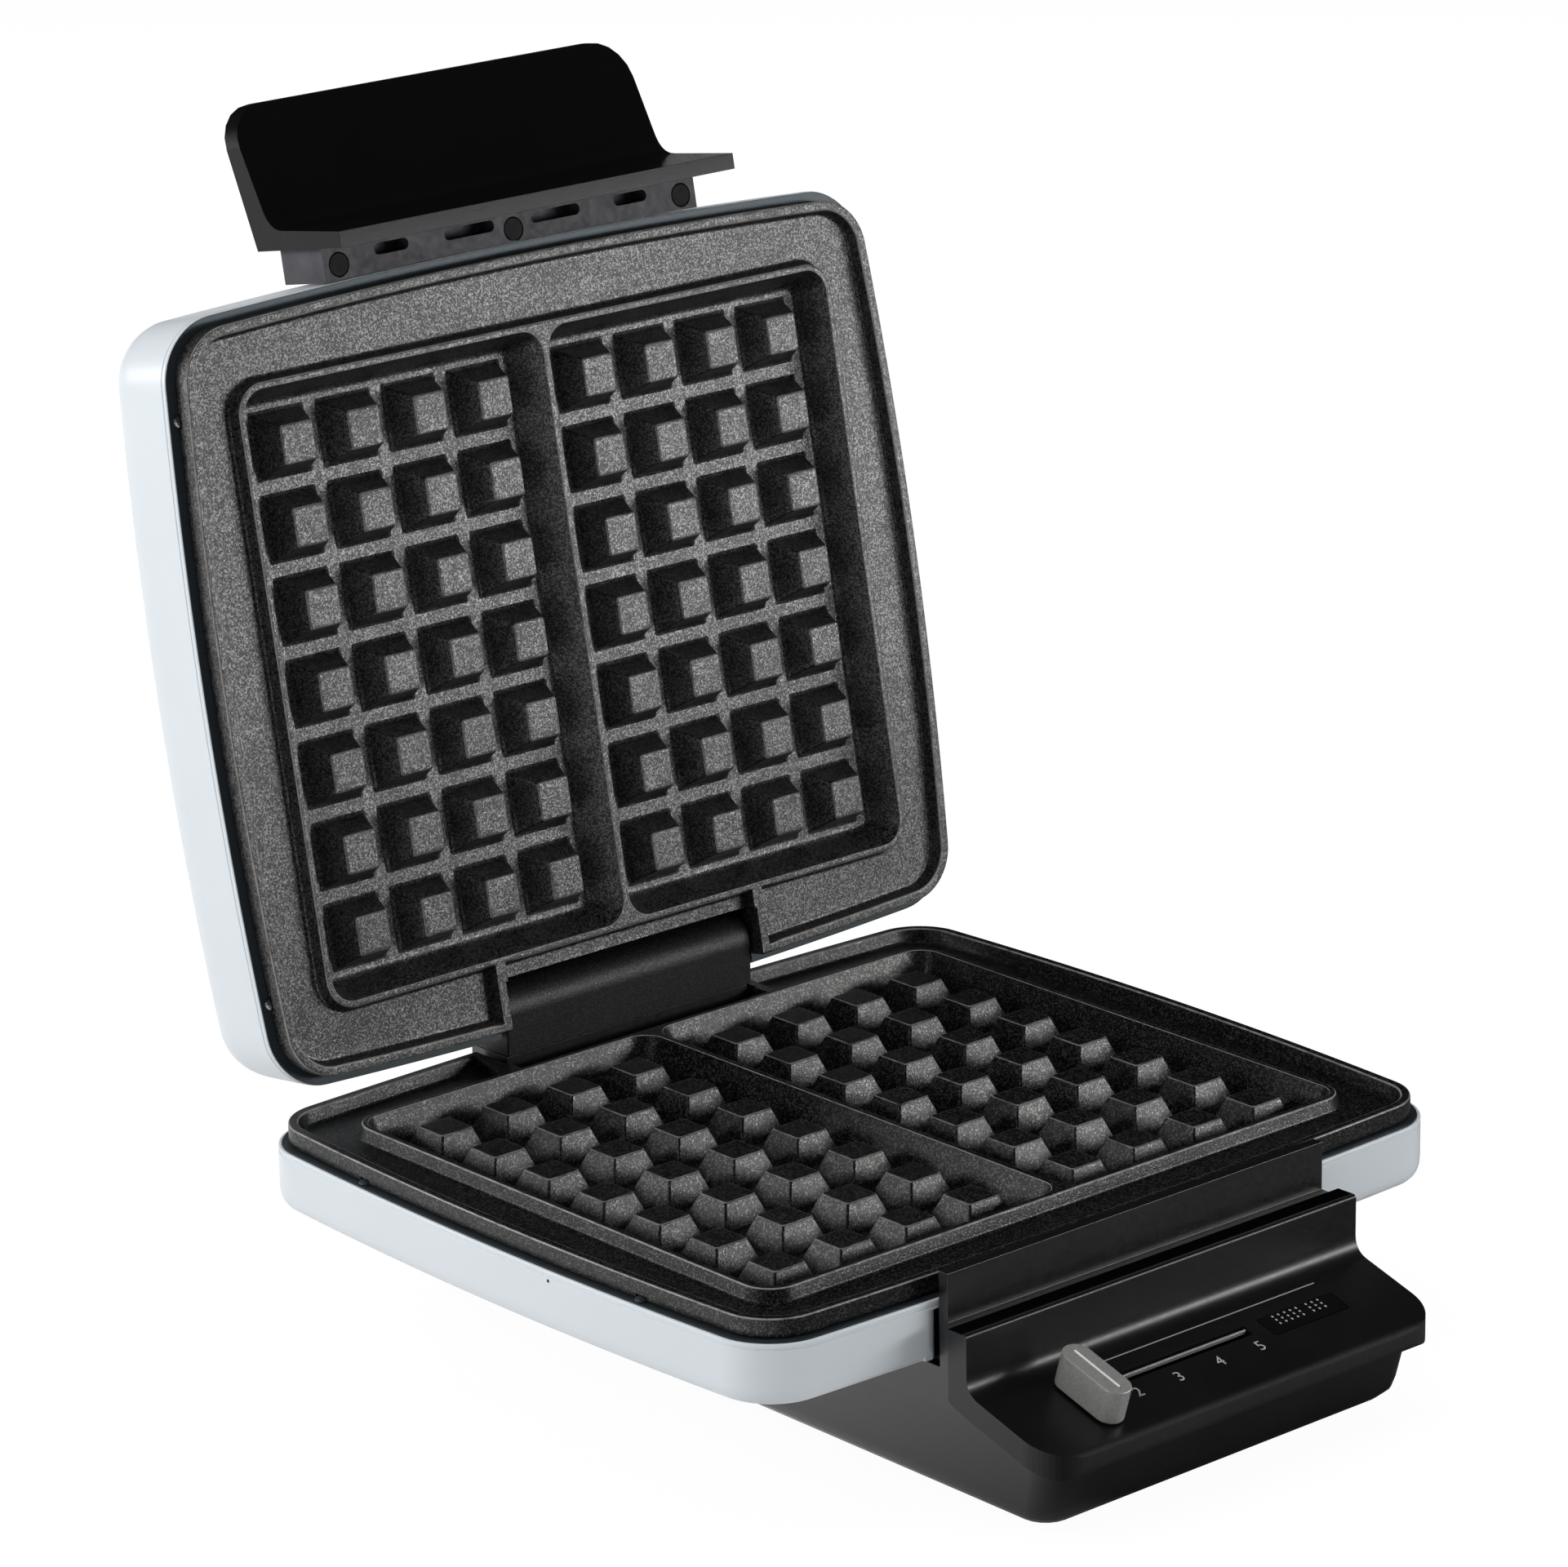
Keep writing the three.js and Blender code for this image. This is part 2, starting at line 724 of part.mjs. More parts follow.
// The recess in the pan's front wall below its lip, which takes the neck of the front
// riser. Its outer corners are rounded over; grow moves its faces into the pan.
const panNotchCorner = panNotchHalfWidth + panNotchRadius;
const panNotchFace = -barrelFace(panNotchCorner, lipReach);
const panNotchBack = panNotchFace + panNotchDepth;

function panNotch(grow, z0, z1) {
  const cornerY = panNotchFace + panNotchRadius;
  const radius = panNotchRadius - grow;
  const outline = new THREE.Shape();
  outline.moveTo(-panNotchCorner, panNotchFace - cutOverrun);
  outline.lineTo(panNotchCorner, panNotchFace - cutOverrun);
  outline.absarc(panNotchCorner, cornerY, radius, -Math.PI / 2, -Math.PI, true);
  outline.lineTo(panNotchCorner - radius, panNotchBack + grow);
  outline.lineTo(radius - panNotchCorner, panNotchBack + grow);
  outline.absarc(-panNotchCorner, cornerY, radius, 0, -Math.PI / 2, true);
  outline.closePath();
  const geometry = new THREE.ExtrudeGeometry(outline, {
    depth: z1 - z0,
    bevelEnabled: false,
    curveSegments: cornerSteps,
  });
  geometry.translate(0, 0, z0);
  return solidOf(geometry);
}

// Tubular heating element: one loop under the cavities with two tails to the handle side.
function heater(tailSide) {
  const halfWidth = floorHalfWidth - heaterSideInset;
  const halfDepth = floorHalfDepth - heaterEndInset;
  const tailEnd = halfDepth + heaterTailLength;
  const path = new THREE.CurvePath();
  const corners = [
    [heaterTailSpread, tailEnd],
    [heaterTailSpread, halfDepth],
    [halfWidth, halfDepth],
    [halfWidth, -halfDepth],
    [-halfWidth, -halfDepth],
    [-halfWidth, halfDepth],
    [-heaterTailSpread, halfDepth],
    [-heaterTailSpread, tailEnd],
  ].map(([x, y]) => new THREE.Vector3(x, tailSide * y, 0));
  const tailBend = Math.min(heaterBendRadius, heaterTailLength) / 2;
  let from = corners[0];
  for (let index = 1; index < corners.length - 1; index += 1) {
    const corner = corners[index];
    const atTail = index === 1 || index === corners.length - 2;
    const bend = atTail ? tailBend : heaterBendRadius;
    const before = corners[index - 1].clone().sub(corner).setLength(bend).add(corner);
    const after = corners[index + 1].clone().sub(corner).setLength(bend).add(corner);
    path.add(new THREE.LineCurve3(from, before));
    path.add(new THREE.QuadraticBezierCurve3(before, corner, after));
    from = after;
  }
  path.add(new THREE.LineCurve3(from, corners[corners.length - 1]));
  const section = new THREE.Shape();
  section.absarc(0, 0, heaterRadius, 0, 2 * Math.PI);
  const geometry = new THREE.ExtrudeGeometry(section, {
    steps: tubeSteps,
    curveSegments: tubeSides / 2,
    extrudePath: path,
    bevelEnabled: false,
  });
  geometry.translate(0, 0, heaterZ);
  return solidOf(geometry);
}

// Sheet reflector behind the heater: a shallow dish with a turned-up lip.
function reflector() {
  const halfWidth = floorHalfWidth - reflectorInset;
  const halfDepth = floorHalfDepth - reflectorInset;
  const edge = (inset, z) => ({
    points: roundedRectangle(
      -halfWidth + inset,
      halfWidth - inset,
      -halfDepth + inset,
      halfDepth - inset,
      heaterBendRadius - inset,
    ),
    z,
  });
  return loft([
    edge(0, reflectorTop - reflectorThickness),
    edge(0, reflectorTop + reflectorLip),
    edge(reflectorThickness, reflectorTop + reflectorLip),
    edge(reflectorThickness, reflectorTop),
  ]);
}

// The pedestal's plan at one height, drawn in by inset all round.
function pedestalPlan(halfWidth, front, rear, inset, z) {
  return {
    points: roundedRectangle(
      -halfWidth + inset,
      halfWidth - inset,
      -front + inset,
      rear - inset,
      housingCornerRadius - inset,
    ),
    z,
  };
}

// A pedestal plan at the foot, larger all round by grow.
function footPlan(grow, inset, z) {
  return pedestalPlan(
    housingBottomHalfWidth + grow,
    housingFrontBottom + grow,
    riserBack - housingRearDraft + grow,
    inset,
    z,
  );
}

// Outer form of the pedestal up to a given height, on a rounded foot.
function pedestal(to) {
  return loft([
    ...roundedFoot(0, housingUnder, housingEdgeRadius).map(([grow, z]) => footPlan(grow, 0, z)),
    pedestalPlan(housingMiddleHalfWidth, housingFrontTop, riserBack, 0, -housingMiddleDrop),
    pedestalPlan(housingTopHalfWidth, housingFrontTop, riserBack, 0, -ledgeDrop),
    pedestalPlan(housingTopHalfWidth, housingFrontTop, riserBack, 0, to),
  ]);
}

// Inside of the pedestal: a straight-walled opening below for the cover, then the room
// that leaves an even wall.
const openingGrow = -housingEdgeRadius - housingRimWidth;

function pedestalRoom(to) {
  return loft([
    footPlan(openingGrow, 0, housingUnder - cutOverrun),
    footPlan(openingGrow, 0, coverTop + seatGap),
    footPlan(0, housingWall, housingUnder + housingEdgeRadius),
    pedestalPlan(housingMiddleHalfWidth, housingFrontTop, riserBack, housingWall, -housingMiddleDrop),
    pedestalPlan(housingTopHalfWidth, housingFrontTop, riserBack, housingWall, -ledgeDrop),
    pedestalPlan(housingTopHalfWidth, housingFrontTop, riserBack, housingWall, to),
  ]);
}

// Side view of the control panel: an upright leg, a hollow bend and a sloping face.
// The panel's face runs through panelKnee and falls to the front at panelTilt.
const panelKnee = new THREE.Vector2(
  -panelBack - panelLegThickness - panelBendReach,
  panelKneeHeight - pegPlaneHeight,
);
const panelFall = Math.tan(panelTilt);
const panelFrontEdge = new THREE.Vector2(
  -panelFront,
  panelKnee.y - (panelFront + panelKnee.x) * panelFall,
);
const panelPlumb = panelThickness / Math.cos(panelTilt);

function panelSection(drop) {
  const section = new THREE.Shape();
  const legFront = -panelBack - panelLegThickness;
  const underBend = panelKnee.y + panelBendDrop / 2;
  section.moveTo(-panelBack + drop, panelTop + drop * cutOverrun);
  section.lineTo(legFront + panelEdgeRadius, panelTop + drop * cutOverrun);
  section.lineTo(legFront, panelTop - panelEdgeRadius + drop * cutOverrun);
  section.lineTo(legFront, panelKnee.y + panelBendDrop);
  section.quadraticCurveTo(legFront, panelKnee.y + panelBendReach * panelFall, panelKnee.x, panelKnee.y);
  section.lineTo(panelFrontEdge.x + panelEdgeRadius, panelFrontEdge.y + panelEdgeRadius * panelFall);
  section.lineTo(panelFrontEdge.x, panelFrontEdge.y - panelEdgeRadius);
  section.lineTo(panelFrontEdge.x, panelFrontEdge.y - panelPlumb - drop + panelLipRound);
  section.quadraticCurveTo(
    panelFrontEdge.x,
    panelFrontEdge.y - panelPlumb - drop,
    panelFrontEdge.x + panelLipRound,
    panelFrontEdge.y - panelPlumb - drop + panelLipRound * panelFall,
  );
  section.lineTo(panelKnee.x + panelBendReach, panelKnee.y + panelBendReach * panelFall - panelPlumb - drop);
  section.quadraticCurveTo(
    -panelBack + drop,
    panelKnee.y + (panelBendReach + panelLegThickness) * panelFall - panelPlumb - drop,
    -panelBack + drop,
    underBend,
  );
  section.closePath();
  return section;
}

// Moves a solid drawn on the panel's face (x across, y up the slope, z out of the face)
// to the place on the real face that lies setback behind the front edge.
function onPanel(solid, setback) {
  const along = setback / Math.cos(panelTilt);
  return solid
    .translate([0, along, 0])
    .rotate([THREE.MathUtils.radToDeg(panelTilt), 0, 0])
    .translate([0, panelFrontEdge.x, panelFrontEdge.y]);
}

// Bosses for the cover screws and the pan screws stand in mirrored pairs.
const bossPlaces = [-1, 1].flatMap((side) => [
  [side * (housingBottomHalfWidth - bossInset), -bossFront],
  [side * (housingBottomHalfWidth - bossInset), bossRear],
]);
const panScrewPlaces = [-1, 1].flatMap((side) => [
  [side * panScrewSpread, -panScrewReach],
  [side * panScrewSpread, panScrewReach],
]);
const footPlaces = [
  ['front_left', -1, -housingFrontBottom + footFrontInset],
  ['front_right', 1, -housingFrontBottom + footFrontInset],
  ['rear_left', -1, riserBack - housingRearDraft - footRearInset],
  ['rear_right', 1, riserBack - housingRearDraft - footRearInset],
].map(([name, side, y]) => ({ name, x: side * (housingBottomHalfWidth - footInset), y }));

// Pedestal housing: a hollow moulding with a deck under the pan, a thin riser in front
// of the pan, a hollow riser behind it for the hinge, and an open seat for the panel.
function baseHousing() {
  const outline = new THREE.Shape();
  outline.moveTo(-panelFront - cutOverrun, housingUnder - cutOverrun);
  outline.lineTo(riserBack + cutOverrun, housingUnder - cutOverrun);
  outline.lineTo(riserBack + cutOverrun, deckTop);
  outline.lineTo(-frontRiserBack, deckTop);
  outline.lineTo(-frontRiserBack, frontRiserTop);
  outline.lineTo(-frontRiserFront, frontRiserTop);
  outline.lineTo(-frontRiserFront, -ledgeDrop);
  outline.lineTo(-panelFront - cutOverrun, -ledgeDrop);
  outline.closePath();
  const body = pedestal(frontRiserTop + cutOverrun).intersect(
    crossProfile(outline, panelHalfWidth + cutOverrun),
  );
  const neck = block(
    -panNotchHalfWidth + seatGap,
    panNotchHalfWidth - seatGap,
    -frontRiserFront,
    panNotchBack - seatGap,
    deckUnder,
    panNotchTop - seatGap,
  );
  const neckHollow = block(
    -panNotchHalfWidth + seatGap + housingWall,
    panNotchHalfWidth - seatGap - housingWall,
    -panelBack - housingWall,
    panNotchBack - seatGap - housingWall,
    deckUnder - cutOverrun,
    panNotchTop - seatGap - housingWall,
  );
  const riser = block(-riserHalfWidth, riserHalfWidth, riserFront, riserBack, deckUnder, riserTop);
  const hollow = cut(
    pedestalRoom(frontRiserTop + cutOverrun),
    block(-panelHalfWidth, panelHalfWidth, -panelBack - housingWall, riserBack, deckUnder, hingeZ),
    block(
      -panelHalfWidth,
      panelHalfWidth,
      riserFront - housingWall,
      riserBack,
      riserFloor - housingWall,
      hingeZ,
    ),
  );
  const riserHollow = block(
    -riserHalfWidth + housingWall,
    riserHalfWidth - housingWall,
    riserFront + housingWall,
    riserBack - housingWall,
    riserFloor,
    riserTop + cutOverrun,
  );
  const panelSeat = crossProfile(panelSection(seatGap), panelHalfWidth + cutOverrun);
  const abovePanel = new THREE.Shape();
  abovePanel.moveTo(-panelBack + seatGap, panelKnee.y);
  abovePanel.lineTo(-panelBack + seatGap, cutOverrun);
  abovePanel.lineTo(-panelFront - cutOverrun, cutOverrun);
  abovePanel.lineTo(-panelFront - cutOverrun, panelFrontEdge.y - panelPlumb - seatGap);
  abovePanel.lineTo(panelFrontEdge.x, panelFrontEdge.y - panelPlumb - seatGap);
  abovePanel.closePath();
  const bosses = bossPlaces.map(([x, y]) => post(x, y, coverTop + seatGap, deckTop, bossRadius, smallRoundSides));
  const panBosses = panScrewPlaces.map(([x, y]) => (
    post(x, y, deckUnder - panBossHeight, deckTop, panBossRadius, smallRoundSides)
  ));
  const bossBores = bossPlaces.map(([x, y]) => (
    post(x, y, housingUnder, coverTop + screwLength + seatGap, screwShankRadius + seatGap, smallRoundSides)
  ));
  const panBores = panScrewPlaces.map(([x, y]) => (
    post(x, y, deckUnder - panBossHeight - cutOverrun, deckTop + cutOverrun, screwShankRadius + seatGap, smallRoundSides)
  ));
  const sensorHole = post(0, 0, deckUnder - cutOverrun, deckTop + cutOverrun, thermostatRadius + seatGap);
  const glandHole = glandBody(glandNeckRadius + seatGap, glandNeckRadius + seatGap, 0, glandZ);
  return cut(
    join(cut(join(body, riser, neck), hollow, riserHollow, neckHollow), ...bosses, ...panBosses),
    panelSeat,
    crossProfile(abovePanel, panelHalfWidth + cutOverrun),
    ...bossBores,
    ...panBores,
    sensorHole,
    glandHole,
  );
}

// Cable gland in the rear wall: a flanged neck with an empty bore. A bore radius of
// zero gives the plain plug that cuts its hole.
function glandBody(neckRadius, flangeRadius, boreRadius, z) {
  const flangeFace = glandFlangeThickness;
  const profile = boreRadius > 0
    ? [
      [boreRadius, -glandLength],
      [neckRadius, -glandLength],
      [neckRadius, 0],
      [flangeRadius, 0],
      [flangeRadius, flangeFace],
      [boreRadius, flangeFace],
      [boreRadius, -glandLength],
    ]
    : [
      [0, -glandLength],
      [neckRadius, -glandLength],
      [neckRadius, flangeFace],
      [0, flangeFace],
    ];
  return turned(profile, 0, 0)
    .rotate([-90, 0, 0])
    .translate([-glandOffset, riserBack + seatGap, z]);
}

function controlPanel() {
  const plan = loft([panelTop + cutOverrun, housingUnder].reverse().map((z) => ({
    points: roundedRectangle(
      -panelHalfWidth,
      panelHalfWidth,
      -panelFront,
      -panelBack + panelCornerRadius,
      panelCornerRadius,
    ),
    z,
  })));
  const slotLeft = scaleStart - stemWidth / 2 - seatGap;
  const slotRight = scaleEnd + stemWidth / 2 + seatGap;
  const slot = onPanel(
    block(
      slotLeft - seatGap,
      slotRight + seatGap,
      -slotWidth / 2,
      slotWidth / 2,
      -panelThickness - cutOverrun,
      cutOverrun,
    ),
    panelFront - panelBack - panelLegThickness - slotSetback,
  );
  const windowSeat = onPanel(
    block(
      windowCentre - windowLength / 2 - seatGap,
      windowCentre + windowLength / 2 + seatGap,
      -windowWidth / 2 - seatGap,
      windowWidth / 2 + seatGap,
      -windowSeatDepth,
      cutOverrun,
    ),
    panelFront - panelBack - panelLegThickness - windowSetback,
  );
  const lampHoles = [-1, 1].map((side) => onPanel(
    post(
      windowCentre + side * lampSpread,
      0,
      -panelThickness - cutOverrun,
      cutOverrun,
      lampRadius + seatGap,
      smallRoundSides,
    ),
    panelFront - panelBack - panelLegThickness - windowSetback,
  ));
  const body = crossProfile(panelSection(0), panelHalfWidth + cutOverrun).intersect(plan);
  return cut(body, slot, windowSeat, ...lampHoles);
}

function indicatorWindow() {
  return onPanel(
    block(
      windowCentre - windowLength / 2,
      windowCentre + windowLength / 2,
      -windowWidth / 2,
      windowWidth / 2,
      -windowThickness,
      0,
    ),
    panelFront - panelBack - panelLegThickness - windowSetback,
  );
}

function lamp(side) {
  return onPanel(
    post(
      windowCentre + side * lampSpread,
      0,
      -windowSeatDepth - seatGap - lampLength,
      -windowSeatDepth,
      lampRadius,
      smallRoundSides,
    ),
    panelFront - panelBack - panelLegThickness - windowSetback,
  );
}

// Heights under the panel's face, counted out of the face.
const carriageTop = -panelThickness - seatGap;
const carriageUnder = carriageTop - carriageHeight;
const regulatorTop = carriageUnder - seatGap;
const slotBehindFront = panelFront - panelBack - panelLegThickness - slotSetback;

// Slider knob: an upright stadium with a shallow groove on top and a flat stem below.
function sliderKnob() {
  const half = knobLength / 2 - knobWidth / 2;
  const outline = new THREE.Shape();
  const bodyRadius = knobWidth / 2 - knobBevel;
  outline.absarc(0, half, bodyRadius, 0, Math.PI);
  outline.absarc(0, -half, bodyRadius, Math.PI, 2 * Math.PI);
  outline.closePath();
  const geometry = new THREE.ExtrudeGeometry(outline, {
    depth: knobHeight - 2 * knobBevel,
    bevelThickness: knobBevel,
    bevelSize: knobBevel,
    bevelSegments: 2,
    curveSegments: cornerSteps,
  });
  geometry.translate(0, -knobForward, knobLift + knobBevel);
  const knobTop = knobLift + knobHeight;
  const groove = block(
    -knobGrooveWidth / 2,
    knobGrooveWidth / 2,
    -knobForward - knobGrooveLength / 2,
    -knobForward + knobGrooveLength / 2,
    knobTop - knobGrooveDepth,
    knobTop + cutOverrun,
  );
  const stem = block(
    -stemWidth / 2,
    stemWidth / 2,
    -slotWidth / 2 + seatGap,
    slotWidth / 2 - seatGap,
    carriageUnder + carriageHeight / 2,
    knobLift + knobBevel,
  );
  return onPanel(join(cut(solidOf(geometry), groove), stem).translate([scaleStart, 0, 0]), slotBehindFront);
}

// Carriage: a block below the slot that takes the knob's stem, with a lug in the regulator.
function sliderCarriage() {
  const body = block(
    -carriageLength / 2,
    carriageLength / 2,
    -carriageDepth / 2,
    carriageDepth / 2,
    carriageUnder,
    carriageTop,
  );
  const socket = block(
    -stemWidth / 2 - seatGap,
    stemWidth / 2 + seatGap,
    -slotWidth / 2,
    slotWidth / 2,
    carriageUnder + carriageHeight / 2 - seatGap,
    carriageTop + cutOverrun,
  );
  const lug = block(
    -stemLength / 2,
    stemLength / 2,
    -lugDepth / 2,
    lugDepth / 2,
    carriageUnder - lugHeight,
    carriageUnder + carriageHeight / 2 - seatGap,
  );
  return onPanel(join(cut(body, socket), lug).translate([scaleStart, 0, 0]), slotBehindFront);
}

// Slide regulator: a long body under the slot, with a groove for the lug and two end
// towers that hang it from the panel.
function slideRegulator() {
  const left = scaleStart - carriageLength / 2 - regulatorRunOut;
  const right = scaleEnd + carriageLength / 2 + regulatorRunOut;
  const body = block(
    left - regulatorEndWall,
    right + regulatorEndWall,
    -regulatorDepth / 2,
    regulatorDepth / 2,
    regulatorTop - regulatorHeight,
    carriageTop,
  );
  const run = block(
    left,
    right,
    -regulatorDepth,
    regulatorDepth,
    regulatorTop,
    carriageTop + cutOverrun,
  );
  const groove = block(
    left,
    right,
    -lugDepth / 2 - seatGap,
    lugDepth / 2 + seatGap,
    regulatorTop - lugHeight - seatGap,
    regulatorTop + cutOverrun,
  );
  return onPanel(cut(body, run, groove), slotBehindFront);
}

// Bottom cover: a plate inside the pedestal's lower edge with vents and fixing holes.
function bottomCover() {
  const plate = loft([
    footPlan(openingGrow, seatGap, housingUnder + seatGap),
    footPlan(openingGrow, seatGap, coverTop),
  ]);
  const screwHoles = bossPlaces.map(([x, y]) => (
    post(x, y, housingUnder - cutOverrun, coverTop + cutOverrun, screwShankRadius + seatGap, smallRoundSides)
  ));
  const footHoles = footPlaces.map(({ x, y }) => (
    post(x, y, housingUnder - cutOverrun, coverTop + cutOverrun, footStemRadius + seatGap, smallRoundSides)
  ));
  const vents = Array.from({ length: coverVentCount }, (_, index) => {
    const y = (index - (coverVentCount - 1) / 2) * coverVentPitch;
    return block(
      -coverVentLength / 2,
      coverVentLength / 2,
      y - coverVentWidth / 2,
      y + coverVentWidth / 2,
      housingUnder - cutOverrun,
      coverTop + cutOverrun,
    );
  });
  return cut(plate, ...screwHoles, ...footHoles, ...vents);
}

// Rubber foot: a tapered pad with a stem pressed up through the cover.
function foot(x, y) {
  return turned([
    [0, -pegPlaneHeight],
    [footToeRadius, -pegPlaneHeight],
    [footRadius, housingUnder],
    [footStemRadius, housingUnder],
    [footStemRadius, coverTop],
    [0, coverTop],
  ], x, y);
}

// Cover screw, driven up from below into its boss.
function coverScrew(x, y) {
  const headTop = housingUnder;
  return turned([
    [0, headTop - screwHeadHeight],
    [screwHeadRadius, headTop - screwHeadHeight],
    [screwHeadRadius, headTop],
    [screwShankRadius, headTop],
    [screwShankRadius, coverTop + screwLength],
    [0, coverTop + screwLength],
  ], x, y, smallRoundSides);
}

// Pan screw, driven down through the pan's floor into the deck's boss.
function panScrew(x, y) {
  const headUnder = panInside + seatGap;
  return turned([
    [0, deckUnder - panBossHeight / 2],
    [screwShankRadius, deckUnder - panBossHeight / 2],
    [screwShankRadius, headUnder],
    [panScrewHeadRadius, headUnder],
    [panScrewHeadRadius, headUnder + panScrewHeadHeight],
    [0, headUnder + panScrewHeadHeight],
  ], x, y, smallRoundSides);
}

function lowerPan() {
  const returnWall = panNotch(shellWall, panInside, ringSeat);
  const body = tray(panUnder, panInside, panEdgeRadius, 0, returnWall);
  const frontNotch = panNotch(0, panUnder - cutOverrun, panNotchTop);
  const riserSlot = block(
    -riserHalfWidth - seatGap,
    riserHalfWidth + seatGap,
    riserFront - seatGap,
    plateHalfDepth + endBulge + lipReach + cutOverrun,
    panUnder - cutOverrun,
    lipTop + cutOverrun,
  );
  const sensorHole = post(0, 0, panUnder - cutOverrun, lipTop, thermostatRadius + seatGap);
  const screwHoles = panScrewPlaces.map(([x, y]) => (
    post(x, y, panUnder - cutOverrun, lipTop, screwShankRadius + seatGap, smallRoundSides)
  ));
  return cut(body, frontNotch, riserSlot, sensorHole, ...screwHoles);
}

function lowerReflector() {
  const sensorHole = post(0, 0, panUnder, lipTop, thermostatRadius + seatGap);
  const screwHoles = panScrewPlaces.map(([x, y]) => (
    post(x, y, panUnder, lipTop, panScrewHeadRadius + seatGap, smallRoundSides)
  ));
  return cut(reflector(), sensorHole, ...screwHoles);
}

// Thermostat: a body standing through the deck with a cap that feels the plate.
function thermostat() {
  const top = tubUnder - seatGap;
  const shoulder = top - thermostatCapHeight;
  return turned([
    [0, shoulder - thermostatHeight],
    [thermostatRadius, shoulder - thermostatHeight],
    [thermostatRadius, shoulder],
    [thermostatCapRadius, shoulder],
    [thermostatCapRadius, top],
    [0, top],
  ], 0, 0);
}

// Terminal block on the bottom cover, bored through for each wire.
function terminalBlock() {
  const z0 = coverTop + seatGap;
  const middle = bossRear - terminalSetback;
  const body = block(
    -terminalLength / 2,
    terminalLength / 2,
    middle - terminalDepth / 2,
    middle + terminalDepth / 2,
    z0,
    z0 + terminalHeight,
  );
  const pitch = terminalLength / terminalWays;
  const bores = Array.from({ length: terminalWays }, (_, index) => {
    const geometry = new THREE.CylinderGeometry(
      terminalBoreRadius,
      terminalBoreRadius,
      terminalDepth + cutOverrun,
      smallRoundSides,
    );
    geometry.translate(
      (index - (terminalWays - 1) / 2) * pitch,
      middle,
      z0 + terminalHeight / 2,
    );
    return solidOf(geometry);
  });
  return cut(body, ...bores);
}

// Hinge bracket: a folded steel channel with two eyes, standing in the rear riser.
function hingeBracket() {
  const outer = riserHalfWidth - housingWall - seatGap;
  const under = riserFloor + seatGap;
  const eyeTop = hingeZ + bracketEarHalfDepth;
  const floor = block(
    -outer,
    outer,
    hingeY - bracketEarHalfDepth,
    hingeY + bracketEarHalfDepth,
    under,
    under + bracketFloorThickness,
  );
  const ears = [-1, 1].flatMap((side) => {
    const x0 = Math.min(side * outer, side * (outer - bracketEarThickness));
    const x1 = Math.max(side * outer, side * (outer - bracketEarThickness));
    return [
      block(x0, x1, hingeY - bracketEarHalfDepth, hingeY + bracketEarHalfDepth, under, hingeZ),
      crossRod(x0, x1, hingeY, hingeZ, eyeTop - hingeZ),
    ];
  });
  const bore = crossRod(-outer - cutOverrun, outer + cutOverrun, hingeY, hingeZ, pinRadius + seatGap);
  return cut(join(floor, ...ears), bore);
}

// Barrel-topped hinge cover: a shell over the bracket's eyes, open below.
function barrelSection(radius, under) {
  const section = new THREE.Shape();
  section.moveTo(hingeY + radius, under);
  section.lineTo(hingeY + radius, hingeZ);
  section.absarc(hingeY, hingeZ, radius, 0, Math.PI);
  section.lineTo(hingeY - radius, under);
  section.closePath();
  return section;
}

function hingeCover() {
  const under = riserTop + seatGap;
  const barrelSteps = 2 * cornerSteps;
  const outside = crossProfile(barrelSection(barrelRadius, under), barrelHalfWidth, barrelSteps);
  const inside = crossProfile(
    barrelSection(barrelRadius - barrelWall, under - cutOverrun),
    barrelHalfWidth - barrelWall,
    barrelSteps,
  );
  const reach = barrelHalfWidth + cutOverrun;
  return cut(outside, inside, crossRod(-reach, reach, hingeY, hingeZ, pinRadius + seatGap));
}

// Arms lie just outside the hinge cover and turn on the pins.
const armInner = notchHalfWidth - notchSideGap / 2;
const armOuter = armInner + armThickness;

function hingePin(side) {
  const inner = riserHalfWidth - housingWall - seatGap - bracketEarThickness;
  const headInner = armOuter + seatGap;
  const shank = crossRod(inner, headInner + pinHeadThickness / 2, hingeY, hingeZ, pinRadius, smallRoundSides);
  const head = crossRod(
    headInner,
    headInner + pinHeadThickness,
    hingeY,
    hingeZ,
    pinHeadRadius,
    smallRoundSides,
  );
  const pin = join(shank, head);
  return side > 0 ? pin : pin.mirror([1, 0, 0]);
}

// The hinge axis in the lid's own frame, and the lid's hinge side.
const lidHingeY = -hingeY;
const lidHingeZ = closedPegGap - hingeZ;
const lidNotchUnder = lipTop - lidNotchDepth;

function lidArm(side) {
  const inside = lidInside + seatGap;
  const rear = -(plateHalfDepth + lipReach - lidDraft - shellWall - seatGap);
  const armBack = Math.max(rear, lidHingeY - armEyeRadius);
  const stalkFront = lidHingeY + armEyeRadius;
  const arm = cut(
    join(
      crossRod(armInner, armOuter, lidHingeY, lidHingeZ, armEyeRadius),
      block(armInner, armOuter, armBack + lidEdgeRadius / 2, stalkFront, inside, lidHingeZ),
      block(
        armInner,
        armOuter,
        armBack + lidEdgeRadius / 2,
        armBack + armFootLength,
        inside,
        inside + armFootHeight,
      ),
    ),
    crossRod(armInner - cutOverrun, armOuter + cutOverrun, lidHingeY, lidHingeZ, pinRadius + seatGap),
  );
  return side > 0 ? arm : arm.mirror([1, 0, 0]);
}

